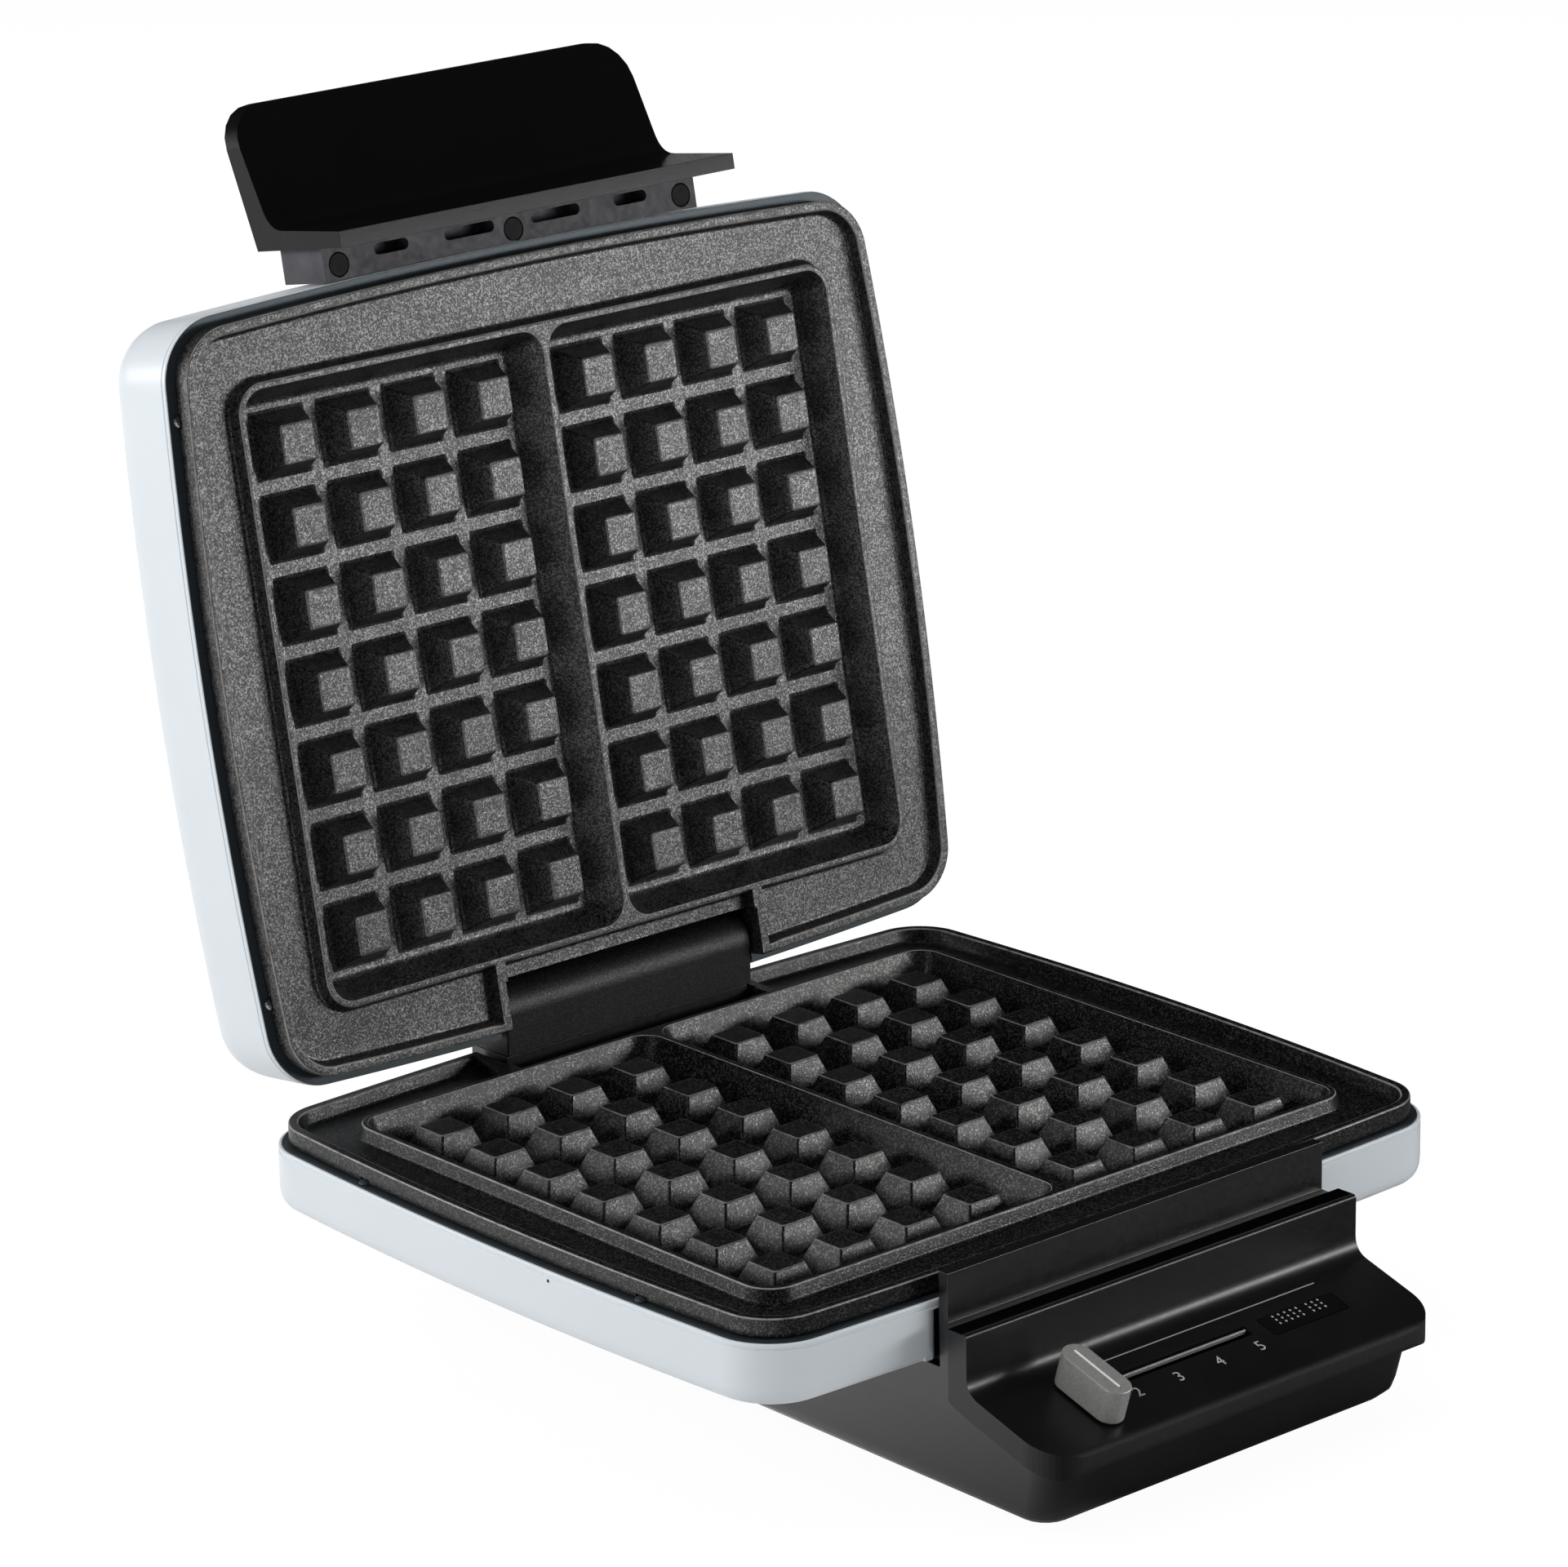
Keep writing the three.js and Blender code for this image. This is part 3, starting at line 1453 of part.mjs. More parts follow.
function upperShell() {
  const body = tray(lidUnder, lidInside, lidEdgeRadius, lidDraft);
  const notch = block(
    -notchHalfWidth,
    notchHalfWidth,
    -(plateHalfDepth + endBulge + lipReach + cutOverrun),
    -notchStart,
    lidNotchUnder,
    lipTop + cutOverrun,
  );
  return cut(body, notch);
}

// Handle bracket: the block on the lid's free edge, shaped to the shell it is screwed to,
// with plugged screw holes and vents in the face that looks at the base.
const blockFront = handleBlockTop;
const blockBack = plateHalfDepth;
const plugY = blockFront - plugSetback;
const ventY = blockFront - ventSetback;

function stadium(centre, length, width, y, z0, z1) {
  const half = (length - width) / 2;
  const outline = new THREE.Shape();
  outline.absarc(half, 0, width / 2, -Math.PI / 2, Math.PI / 2);
  outline.absarc(-half, 0, width / 2, Math.PI / 2, (3 * Math.PI) / 2);
  outline.closePath();
  const geometry = new THREE.ExtrudeGeometry(outline, {
    depth: z1 - z0,
    bevelEnabled: false,
    curveSegments: cornerSteps,
  });
  geometry.translate(centre, y, z0);
  return solidOf(geometry);
}

function handleBracket() {
  const under = handleBlockFace - handleBlockDepth;
  const body = block(
    -handleBlockHalfWidth,
    handleBlockHalfWidth,
    blockBack,
    blockFront,
    under,
    handleBlockFace,
  );
  const shellSpace = barrelLoft([
    [lipReach + seatGap, under - cutOverrun],
    [lipReach + seatGap, handleBlockFace + cutOverrun],
  ]);
  const plugHoles = [-1, 0, 1].map((place) => post(
    place * plugSpread,
    plugY,
    handleBlockFace - plugDepth - seatGap,
    handleBlockFace + cutOverrun,
    plugRadius + seatGap,
  ));
  const vents = [-1, 1].flatMap((side) => [
    [side * innerVentCentre, innerVentLength],
    [side * outerVentCentre, outerVentLength],
  ]).map(([centre, length]) => stadium(
    centre,
    length,
    ventWidth,
    ventY,
    handleBlockFace - ventDepth,
    handleBlockFace + cutOverrun,
  ));
  return cut(body, shellSpace, ...plugHoles, ...vents);
}

function handlePlug(place) {
  return post(
    place * plugSpread,
    plugY,
    handleBlockFace - plugDepth,
    handleBlockFace,
    plugRadius,
  );
}

// Handle grip: a ledge across the lid's edge that bends up into a broad leaning blade,
// which thins towards its top.
function handleGrip() {
  const ledgeUnder = handleBlockTop + seatGap;
  const ledgeTop = ledgeUnder + gripLedgeThickness;
  const ledgeRoot = ledgeTop + gripLedgeRise;
  const faceLean = Math.tan(gripFaceTilt);
  const top = ledgeUnder + gripHeight;
  const backTop = gripBack - gripHeight * Math.tan(gripBackTilt);
  const faceFoot = gripBack + gripBladeThickness / Math.cos(gripFaceTilt) - gripLedgeThickness * faceLean;
  const faceTop = faceFoot - (top - ledgeTop) * faceLean;
  const section = new THREE.Shape();
  section.moveTo(ledgeUnder, gripBack);
  section.lineTo(ledgeUnder, gripLedgeReach);
  section.lineTo(ledgeTop, gripLedgeReach);
  section.lineTo(ledgeRoot, faceFoot + gripInnerRadius);
  section.quadraticCurveTo(
    ledgeRoot,
    faceFoot,
    ledgeRoot + gripInnerRadius,
    faceFoot - (gripInnerRadius + gripLedgeRise) * faceLean,
  );
  section.lineTo(top - gripEdgeRadius, faceTop + gripEdgeRadius * faceLean);
  section.quadraticCurveTo(top, faceTop, top, faceTop - gripEdgeRadius);
  section.lineTo(top, backTop + gripEdgeRadius);
  section.quadraticCurveTo(top, backTop, top - gripEdgeRadius, backTop + gripEdgeRadius * Math.tan(gripBackTilt));
  section.closePath();
  const plan = loft([backTop - cutOverrun, gripLedgeReach + cutOverrun].map((z) => ({
    points: roundedRectangle(
      -gripHalfWidth,
      gripHalfWidth,
      ledgeUnder - gripTopRadius,
      top,
      gripTopRadius,
    ),
    z,
  })));
  return crossProfile(section, gripHalfWidth + cutOverrun).intersect(plan);
}

// Assembly of the base
const base = new THREE.Group();
base.add(
  named('base_housing', baseHousing(), materials.blackPlastic),
  named('control_panel', controlPanel(), materials.panelPlastic),
  named('panel_window', indicatorWindow(), materials.smokedWindow),
  named('power_lamp', lamp(-1), materials.amberLamp),
  named('ready_lamp', lamp(1), materials.greenLamp),
  named('slide_regulator', slideRegulator(), materials.greyPlastic),
  named('slider_carriage', sliderCarriage(), materials.greyPlastic),
  named('slider_knob', sliderKnob(), materials.satinSilver),
  named('bottom_cover', bottomCover(), materials.blackPlastic),
  named('terminal_block', terminalBlock(), materials.ceramicWhite),
  named(
    'mains_gland',
    glandBody(glandNeckRadius, glandFlangeRadius, glandBoreRadius, glandZ),
    materials.rubber,
  ),
  named('thermostat', thermostat(), materials.ceramicWhite),
  named('lower_pan', lowerPan(), materials.paleMetal),
  named('lower_trim_ring', trimRing(1, lowerCatchSpread), materials.brightTrim),
  named('lower_reflector', lowerReflector(), materials.sheetSteel),
  named('lower_heater', heater(-1), materials.heaterSheath),
  named('lower_plate', cookingPlate(1, lowerCatchSpread), materials.nonStick),
  named('hinge_bracket', hingeBracket(), materials.steel),
  named('hinge_cover', hingeCover(), materials.nonStick),
  named('hinge_pin_left', hingePin(-1), materials.steel),
  named('hinge_pin_right', hingePin(1), materials.steel),
);
footPlaces.forEach(({ name, x, y }) => base.add(named(`foot_${name}`, foot(x, y), materials.rubber)));
bossPlaces.forEach(([x, y], index) => (
  base.add(named(`cover_screw_${index + 1}`, coverScrew(x, y), materials.steel))
));
panScrewPlaces.forEach(([x, y], index) => (
  base.add(named(`pan_screw_${index + 1}`, panScrew(x, y), materials.steel))
));

catchPlaces(lowerCatchSpread).forEach(([x, y], index) => (
  base.add(named(`lower_catch_${index + 1}`, plateCatch(x, y), materials.steel))
));

// Assembly of the lid in its own frame, hung on the hinge axis and opened
const lid = new THREE.Group();
lid.add(
  named('upper_shell', upperShell(), materials.paleMetal),
  named('upper_trim_ring', trimRing(-1, upperCatchSpread), materials.brightTrim),
  named('upper_reflector', reflector(), materials.sheetSteel),
  named('upper_heater', heater(1), materials.heaterSheath),
  named('upper_plate', cookingPlate(-1, upperCatchSpread), materials.nonStick),
  named('lid_arm_left', lidArm(-1), materials.steel),
  named('lid_arm_right', lidArm(1), materials.steel),
  named('handle_bracket', handleBracket(), materials.greyPlastic),
  named('handle_grip', handleGrip(), materials.blackPlastic),
  named('handle_plug_left', handlePlug(-1), materials.blackPlastic),
  named('handle_plug_middle', handlePlug(0), materials.blackPlastic),
  named('handle_plug_right', handlePlug(1), materials.blackPlastic),
);
catchPlaces(upperCatchSpread).forEach(([x, y], index) => (
  lid.add(named(`upper_catch_${index + 1}`, plateCatch(x, y), materials.steel))
));
lid.position.set(0, -lidHingeY, -lidHingeZ);
const lidOnHinge = new THREE.Group();
lidOnHinge.add(lid);
lidOnHinge.position.set(0, hingeY, hingeZ);
lidOnHinge.rotation.x = Math.PI - openAngle;

// The whole appliance stands on the bench with its box centred over the origin.
const standing = new THREE.Group();
standing.add(base, lidOnHinge);
const wholeBox = new THREE.Box3().setFromObject(standing, true);
standing.position.set(0, -(wholeBox.min.y + wholeBox.max.y) / 2, pegPlaneHeight);

const waffleIron = new THREE.Group();
waffleIron.add(standing);

export default waffleIron;
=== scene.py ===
import math

import bmesh
import bpy
import numpy as np
from mathutils import Matrix, Vector


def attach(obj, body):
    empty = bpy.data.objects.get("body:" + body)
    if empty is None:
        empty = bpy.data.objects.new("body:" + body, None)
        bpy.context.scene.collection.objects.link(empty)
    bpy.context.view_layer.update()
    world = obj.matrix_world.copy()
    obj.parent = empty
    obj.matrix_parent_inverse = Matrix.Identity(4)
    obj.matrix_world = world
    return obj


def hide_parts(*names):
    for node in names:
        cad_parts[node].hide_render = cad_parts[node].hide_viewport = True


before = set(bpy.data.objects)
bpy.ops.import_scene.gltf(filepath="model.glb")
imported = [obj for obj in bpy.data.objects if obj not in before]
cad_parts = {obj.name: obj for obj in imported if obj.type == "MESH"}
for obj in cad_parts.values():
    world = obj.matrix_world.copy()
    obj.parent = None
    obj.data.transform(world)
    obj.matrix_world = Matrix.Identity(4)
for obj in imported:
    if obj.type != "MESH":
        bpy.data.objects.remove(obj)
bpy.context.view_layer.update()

# Camera
# A long lens in front of the iron on its left and a little above it, rolled by under one
# degree so that the pedestal stands as it does in the photograph.
camera_azimuth = math.radians(-41.322)
camera_elevation = math.radians(17.621)
camera_roll = math.radians(0.864)
camera_place = Vector((-1.170434, -1.316246, 0.719797))
lens_length = 149.35
film_width = 36.0
view_depth = 20.0

towards_camera = Vector((
    math.sin(camera_azimuth) * math.cos(camera_elevation),
    -math.cos(camera_azimuth) * math.cos(camera_elevation),
    math.sin(camera_elevation),
))
level_right = (-towards_camera).cross(Vector((0, 0, 1))).normalized()
level_up = towards_camera.cross(level_right)
film_right = math.cos(camera_roll) * level_right - math.sin(camera_roll) * level_up
film_up = math.sin(camera_roll) * level_right + math.cos(camera_roll) * level_up

camera = bpy.data.objects.new("camera", bpy.data.cameras.new("camera"))
camera.data.lens = lens_length
camera.data.sensor_width = film_width
camera.data.clip_end = view_depth
camera.matrix_world = Matrix.Translation(camera_place) @ Matrix(
    (film_right, film_up, towards_camera)
).transposed().to_4x4()
bpy.context.scene.collection.objects.link(camera)
bpy.context.scene.camera = camera
bpy.context.scene.view_settings.view_transform = "Standard"


# Table and light
# A white table top that runs on past the picture, in a room that glossy faces see as white
# behind on the left, below the ceiling, and as dim elsewhere. Soft lamps stand in front on
# the right, behind on both sides, at the left and above.

class Shade:
    """A value or colour that varies over a finish. Sums, differences and products of shades
    and numbers become Math nodes."""

    def __init__(self, finish, socket):
        self.finish = finish
        self.socket = socket

    def worked(self, operation, *terms):
        return self.finish.node("ShaderNodeMath", {"operation": operation}, dict(enumerate(terms)))

    def __add__(self, other):
        return self.worked("ADD", self, other)

    def __sub__(self, other):
        return self.worked("SUBTRACT", self, other)

    def __rsub__(self, other):
        return self.worked("SUBTRACT", other, self)

    def __mul__(self, other):
        return self.worked("MULTIPLY", self, other)

    __radd__ = __add__
    __rmul__ = __mul__

    def spread(self, low, high, to_low=0.0, to_high=1.0):
        """The same pattern, stretched so that low becomes to_low and high to_high."""
        return self.finish.node("ShaderNodeMapRange", {"clamp": True}, {
            "Value": self, "From Min": low, "From Max": high, "To Min": to_low, "To Max": to_high,
        })

    def over(self, below, above):
        """The colour below where this is 0, and the colour above where it is 1. A Mix node
        takes the two colours in sockets 6 and 7 and gives the mixed one as output 2."""
        return self.finish.node(
            "ShaderNodeMix", {"data_type": "RGBA"}, {0: self, 6: below, 7: above}, output=2,
        )


class Finish:
    """A finish as a tree of shader nodes on a material or a world."""

    def __init__(self, holder):
        self.holder = holder
        holder.use_nodes = True
        self.nodes = holder.node_tree.nodes
        self.links = holder.node_tree.links

    def node(self, kind, settings=None, sockets=None, output=0):
        """One node: its settings first, then the values or links of its sockets."""
        made = self.nodes.new(kind)
        for setting, value in (settings or {}).items():
            setattr(made, setting, value)
        for socket, value in (sockets or {}).items():
            if isinstance(value, Shade):
                self.links.new(value.socket, made.inputs[socket])
            else:
                made.inputs[socket].default_value = value
        return Shade(self, made.outputs[output])

    def beside(self, shade, output):
        """Another output of the node that a shade comes from."""
        return Shade(self, shade.socket.node.outputs[output])

    def towards(self, place, aim):
        """How far a place lies along an aim: their dot product."""
        return self.node("ShaderNodeVectorMath", {"operation": "DOT_PRODUCT"}, {0: place, 1: aim}, "Value")

    def mixed(self, share, first, second):
        """The first surface where share is 0, and the second where it is 1."""
        return self.node("ShaderNodeMixShader", {}, {0: share, 1: first, 2: second})

    def feed(self, node_name, **sockets):
        """Links shades to the named sockets of a node that is there already."""
        for socket, value in sockets.items():
            self.links.new(value.socket, self.nodes[node_name].inputs[socket.replace("_", " ")])


def srgb(code):
    """A colour such as 5a5a5a as linear red, green, blue and alpha, by the sRGB curve."""
    steps = [int(code[at:at + 2], 16) / 255 for at in (0, 2, 4)]
    return tuple(s / 12.92 if s <= 0.04045 else ((s + 0.055) / 1.055) ** 2.4 for s in steps) + (1.0,)


pure_white = (1.0, 1.0, 1.0, 1.0)
room_light = 0.32
bright_side = (-0.66, 0.75, 0.0)
side_edge = (0.3, 0.65)
ceiling_middle = (0.0, 0.5, 0.87)
ceiling_edge = (0.3, 0.6)
dim_wall = 0.04
far_corner = (0.64, 0.71, 0.3)
corner_edge = (0.75, 0.95)
corner_grey = (0.2, 0.2, 0.2, 1.0)
table_reach = 7.0
table_glow = 0.96
table_edge = (-0.1, 0.03)
lamp_target = Vector((0, 0, 0.12))

room = Finish(bpy.data.worlds.new("white_room"))
bpy.context.scene.world = room.holder
camera_ray = room.node("ShaderNodeLightPath", output="Is Camera Ray")
gloss_ray = room.beside(camera_ray, "Is Glossy Ray")
seen = (camera_ray + room.beside(camera_ray, "Is Transmission Ray") + gloss_ray).spread(0, 1)
direction = room.node("ShaderNodeTexCoord", output="Generated")
to_side = room.towards(direction, bright_side).spread(*side_edge)
to_ceiling = room.towards(direction, ceiling_middle).spread(*ceiling_edge)
to_corner = room.towards(direction, far_corner).spread(*corner_edge)
white_wall = room.node("ShaderNodeBackground", {}, {"Color": pure_white, "Strength": 1.0})
dark_wall = room.node("ShaderNodeBackground", {}, {
    "Color": to_corner.over(pure_white, corner_grey), "Strength": dim_wall,
})
room_seen = room.mixed(gloss_ray * (1 - to_side * (1 - to_ceiling)), white_wall, dark_wall)
room_lit = room.node("ShaderNodeBackground", {}, {"Color": pure_white, "Strength": room_light})
room.feed("World Output", Surface=room.mixed(seen, room_lit, room_seen))

table_mesh = bpy.data.meshes.new("table_top")
table_mesh.from_pydata(
    [(-table_reach, -table_reach, 0), (table_reach, -table_reach, 0),
     (table_reach, table_reach, 0), (-table_reach, table_reach, 0)],
    [], [(0, 1, 2, 3)],
)
table = bpy.data.objects.new("table_top", table_mesh)
bpy.context.scene.collection.objects.link(table)
white_table = Finish(bpy.data.materials.new("white_table"))
table.data.materials.append(white_table.holder)
camera_ray = white_table.node("ShaderNodeLightPath", output="Is Camera Ray")
gloss_ray = white_table.beside(camera_ray, "Is Glossy Ray")
seen = (camera_ray + white_table.beside(camera_ray, "Is Transmission Ray")).spread(0, 1)
table_place = white_table.node("ShaderNodeTexCoord", output="Object")
dim_half = 1 - white_table.towards(table_place, bright_side).spread(*table_edge)
matt_white = white_table.node("ShaderNodeBsdfDiffuse", {}, {"Color": srgb("e6e6e6")})
matt_dark = white_table.node("ShaderNodeBsdfDiffuse", {}, {"Color": srgb("626266")})
faint_shadow = white_table.node("ShaderNodeBsdfDiffuse", {}, {"Color": srgb("484848")})
lit_white = white_table.node("ShaderNodeEmission", {}, {"Color": pure_white, "Strength": table_glow})
shadowed_white = white_table.node("ShaderNodeAddShader", {}, {0: faint_shadow, 1: lit_white})
table_lit = white_table.mixed(gloss_ray, matt_white, white_table.mixed(dim_half, lit_white, matt_dark))
white_table.feed("Material Output", Surface=white_table.mixed(seen, table_lit, shadowed_white))

for lamp_name, lamp_place, lamp_width, lamp_height, lamp_power, lights, mirrors in (
    ("front_right_lamp", (1.18, -1.46, 0.50), 1.2, 0.35, 13.0, True, False),
    ("low_strip_lamp", (0.69, -0.76, 0.28), 0.7, 0.16, 4.5, False, True),
    ("back_left_lamp", (-1.30, 1.40, 0.50), 1.0, 0.4, 10.0, True, False),
    ("back_left_sheen", (-1.30, 1.40, 0.50), 1.0, 0.4, 20.0, False, True),
    ("back_right_lamp", (1.30, 1.30, 0.60), 1.2, 0.6, 8.0, True, False),
    ("left_lamp", (-1.70, 0.25, 1.00), 1.2, 1.2, 15.0, True, False),
    ("top_lamp", (-0.1, 0.2, 2.0), 1.2, 1.2, 7.0, True, False),
):
    soft_lamp = bpy.data.lights.new(lamp_name, "AREA")
    soft_lamp.energy = lamp_power
    soft_lamp.shape = "RECTANGLE"
    soft_lamp.size, soft_lamp.size_y = lamp_width, lamp_height
    lamp_object = bpy.data.objects.new(lamp_name, soft_lamp)
    lamp_turn = (lamp_target - Vector(lamp_place)).to_track_quat("-Z", "Y").to_matrix().to_4x4()
    lamp_object.matrix_world = Matrix.Translation(lamp_place) @ lamp_turn
    lamp_object.visible_diffuse, lamp_object.visible_glossy = lights, mirrors
    lamp_object.visible_camera = False
    bpy.context.scene.collection.objects.link(lamp_object)


# Rubber feet
# Four soft black pads on stems that are pressed up through the bottom cover. Moulded
# rubber with a softened toe and a dusty matt skin.
grid_middle = (0.0, -11.8013, 64.0)
table_level = -grid_middle[2]
weld_gap, shortest_edge = 2e-6, 1e-6
flat_face_weight = 60
noise_reach, patch_reach = (0.3, 0.7), (0.35, 0.7)


def on_base(points):
    """Millimetres counted from the middle of the lower grid's peg tops, to metres counted
    from the part's origin on the table."""
    return (np.asarray(points, float) + grid_middle) / 1000


def softened(corners, radii, steps=4):
    """A polyline whose corners are replaced by arcs: each arc is the quadratic curve from a
    point one radius before the corner to one radius after it. Gives the points and, for
    each, how far it is into an arc: 0 on the flats and 1 half way round a corner."""
    corners = np.asarray(corners, float)
    points, depth = [corners[:1]], [np.zeros(1)]
    for before, corner, after, radius in zip(corners, corners[1:], corners[2:], radii):
        if radius == 0:
            points.append(corner[None])
            depth.append(np.zeros(1))
            continue
        turn = np.linspace(0, 1, steps + 1)[:, None]
        start = corner + (before - corner) * min(1, radius / np.linalg.norm(before - corner))
        end = corner + (after - corner) * min(1, radius / np.linalg.norm(after - corner))
        points.append((1 - turn) ** 2 * start + 2 * turn * (1 - turn) * corner + turn ** 2 * end)
        depth.append(np.sin(np.pi * turn[:, 0]))
    points.append(corners[-1:])
    depth.append(np.zeros(1))
    return np.concatenate(points), np.concatenate(depth)


def ring_faces(rows, columns):
    """Quads between neighbouring rings of a grid whose rows are closed rings."""
    row, column = np.mgrid[0:rows - 1, 0:columns]
    following = (column + 1) % columns
    return np.stack([
        row * columns + column, row * columns + following,
        (row + 1) * columns + following, (row + 1) * columns + column,
    ], axis=-1).reshape(-1, 4)


def lofted(rings, first_cap=True, last_cap=True, fanned=False):
    """A skin over rings of equal point counts: quads from each ring to the next, and a flat
    face over the first and the last ring where it is wanted. A fanned last ring has triangles
    to its middle, an even cover for a wide floor. Gives points and faces."""
    rings = np.asarray(rings, float)
    rows, columns = rings.shape[:2]
    points = rings.reshape(-1, 3)
    faces = ring_faces(rows, columns).tolist()
    last = (rows - 1) * columns + np.arange(columns)
    if first_cap:
        faces.append(list(range(columns))[::-1])
    if last_cap and not fanned:
        faces.append(last.tolist())
    if last_cap and fanned:
        points = np.concatenate([points, rings[-1].mean(axis=0, keepdims=True)])
        middle = np.full(columns, rows * columns)
        faces += np.stack([last, np.roll(last, -1), middle], axis=-1).tolist()
    return points, faces


def piece(name, *skins, marks=None):
    """An object at the origin from one or more skins of points in metres and faces. marks is
    a name and one value per point, kept as an attribute that a finish may read."""
    points, faces, start = [], [], 0
    for skin_points, skin_faces in skins:
        points.append(skin_points)
        faces += [[start + corner for corner in face] for face in skin_faces]
        start += len(skin_points)
    mesh = bpy.data.meshes.new(name)
    mesh.from_pydata(np.concatenate(points).tolist(), [], faces)
    if marks:
        layer = mesh.attributes.new(marks[0], "FLOAT", "POINT")
        layer.data.foreach_set("value", np.asarray(marks[1], np.float32))
    shaped = bmesh.new()
    shaped.from_mesh(mesh)
    bmesh.ops.remove_doubles(shaped, verts=shaped.verts, dist=weld_gap)
    bmesh.ops.dissolve_degenerate(shaped, edges=shaped.edges, dist=shortest_edge)
    bmesh.ops.recalc_face_normals(shaped, faces=shaped.faces)
    shaped.to_mesh(mesh)
    shaped.free()
    made = bpy.data.objects.new(name, mesh)
    bpy.context.scene.collection.objects.link(made)
    return made


def finished(
    made, body, finish, nodes=(), edge=0.0, edge_angle=35.0, edge_steps=2,
    cut=(), join=(), meet=(),
):
    """Meets, joins and cuts a piece with helper solids, rounds its sharp edges by edge
    metres, gives flat faces flat shading, and puts it on its body with its finish."""
    for operation, helpers in (("INTERSECT", meet), ("UNION", join), ("DIFFERENCE", cut)):
        for helper in helpers:
            knife = made.modifiers.new("knife", "BOOLEAN")
            knife.operation = operation
            knife.solver = "EXACT"
            knife.object = helper
    if edge:
        rounding = made.modifiers.new("rounding", "BEVEL")
        rounding.width = edge
        rounding.segments = edge_steps
        rounding.limit_method = "ANGLE"
        rounding.angle_limit = math.radians(edge_angle)
        rounding.use_clamp_overlap = True
        rounding.miter_outer = "MITER_ARC"
    evened = made.modifiers.new("evened", "WEIGHTED_NORMAL")
    evened.keep_sharp = True
    evened.weight = flat_face_weight
    made.data.shade_smooth()
    bpy.context.view_layer.update()
    worked_out = bpy.context.evaluated_depsgraph_get()
    seen_mesh = bpy.data.meshes.new_from_object(
        made.evaluated_get(worked_out), preserve_all_data_layers=True, depsgraph=worked_out,
    )
    made.modifiers.clear()
    made.data = seen_mesh
    for helper in (*cut, *join, *meet):
        bpy.data.objects.remove(helper)
    made.data.materials.clear()
    made.data.materials.append(finish.holder)
    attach(made, body)
    if nodes:
        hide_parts(*nodes)
    return made


def turned(profile, sides=48):
    """A lathe-turned skin round the upright axis: the profile of radius and height goes once
    round, and the ends close on the axis where their radius is 0."""
    profile = np.asarray(profile, float)
    angle = np.arange(sides) * 2 * np.pi / sides
    rings = np.empty((len(profile), sides, 3))
    rings[..., 0] = profile[:, :1] * np.cos(angle)
    rings[..., 1] = profile[:, :1] * np.sin(angle)
    rings[..., 2] = profile[:, 1:]
    return rings


class Moulded(Finish):
    """A material with its surface shader set to plain values, ready for varying ones. shine
    is how much its clear surface reflects, as a share of what plain glass does."""

    def __init__(self, name, shine=1.0, **surface):
        super().__init__(bpy.data.materials.new(name))
        sockets = self.nodes["Principled BSDF"].inputs
        sockets["Specular IOR Level"].default_value = shine / 2
        for socket, value in surface.items():
            sockets[socket].default_value = value
        self.place = self.node("ShaderNodeTexCoord", output="Object")

    def grain(self, size, detail=2.0, place=None):
        """Cloudy noise with clouds of about the given size in metres."""
        return self.node("ShaderNodeTexNoise", {}, {
            "Vector": place or self.place, "Scale": 1 / size, "Detail": detail, "Roughness": 0.55,
        })

    def mottled(self, dark, light, size, detail=2.0, reach=None):
        """A colour that drifts from dark to light in clouds of the given size: evenly with
        the noise, or only while the noise goes through the two levels of reach."""
        clouds = self.grain(size, detail)
        return (clouds.spread(*reach) if reach else clouds).over(srgb(dark), srgb(light))

    def uneven(self, low, high, size, detail=2.0):
        """A number that drifts from low to high in clouds of the given size."""
        return self.grain(size, detail).spread(*noise_reach, low, high)

    def stretched(self, along):
        """The place on the piece, drawn out by three factors, for brushed and drawn marks."""
        return self.node("ShaderNodeVectorMath", {"operation": "MULTIPLY"}, {0: self.place, 1: along})

    def relief(self, height, depth):
        """A bump whose heights of 0 to 1 stand for the given depth in metres."""
        return self.node("ShaderNodeBump", {}, {"Height": height, "Distance": depth})

    def surface(self, **sockets):
        """Links shades to the sockets of the surface shader."""
        self.feed("Principled BSDF", **sockets)


def clouded(name, tones, gloss, bumps=None, **surface):
    """A material that varies in clouds. tones is what mottled takes, gloss is what uneven
    takes, for the roughness, and bumps is the size and the depth of its relief."""
    made = Moulded(name, **surface)
    made.surface(Base_Color=made.mottled(*tones), Roughness=made.uneven(*gloss))
    if bumps:
        size, depth = bumps
        made.surface(Normal=made.relief(made.grain(size), depth))
    return made


toe_radius, toe_edge = 6.6, 0.9
pad_radius, pad_top, pad_edge = 7.3, -61.5, 0.5
stem_radius, stem_top, stem_edge = 3.0, -58.7, 0.4
foot_places = {
    "foot_front_left": (-54.5, -138.6),
    "foot_front_right": (54.5, -138.6),
    "foot_rear_left": (-54.5, 97.85),
    "foot_rear_right": (54.5, 97.85),
}
dusty_rubber = clouded(
    "dusty_rubber", tones=("141414", "262523", 0.004, 2, (0.4, 0.75)), gloss=(0.68, 0.88, 0.0012),
    bumps=(0.0004, 0.00004),
)
foot_profile, _ = softened(
    [
        (0, table_level), (toe_radius, table_level), (pad_radius, pad_top),
        (stem_radius, pad_top), (stem_radius, stem_top), (0, stem_top),
    ],
    [toe_edge, pad_edge, 0, stem_edge],
)
for foot_name, (foot_x, foot_y) in foot_places.items():
    foot_rings = turned(foot_profile) + (foot_x, foot_y, 0)
    finished(
        piece(f"rubber_{foot_name}", lofted(on_base(foot_rings), False, False)),
        "base", dusty_rubber, [foot_name],
    )


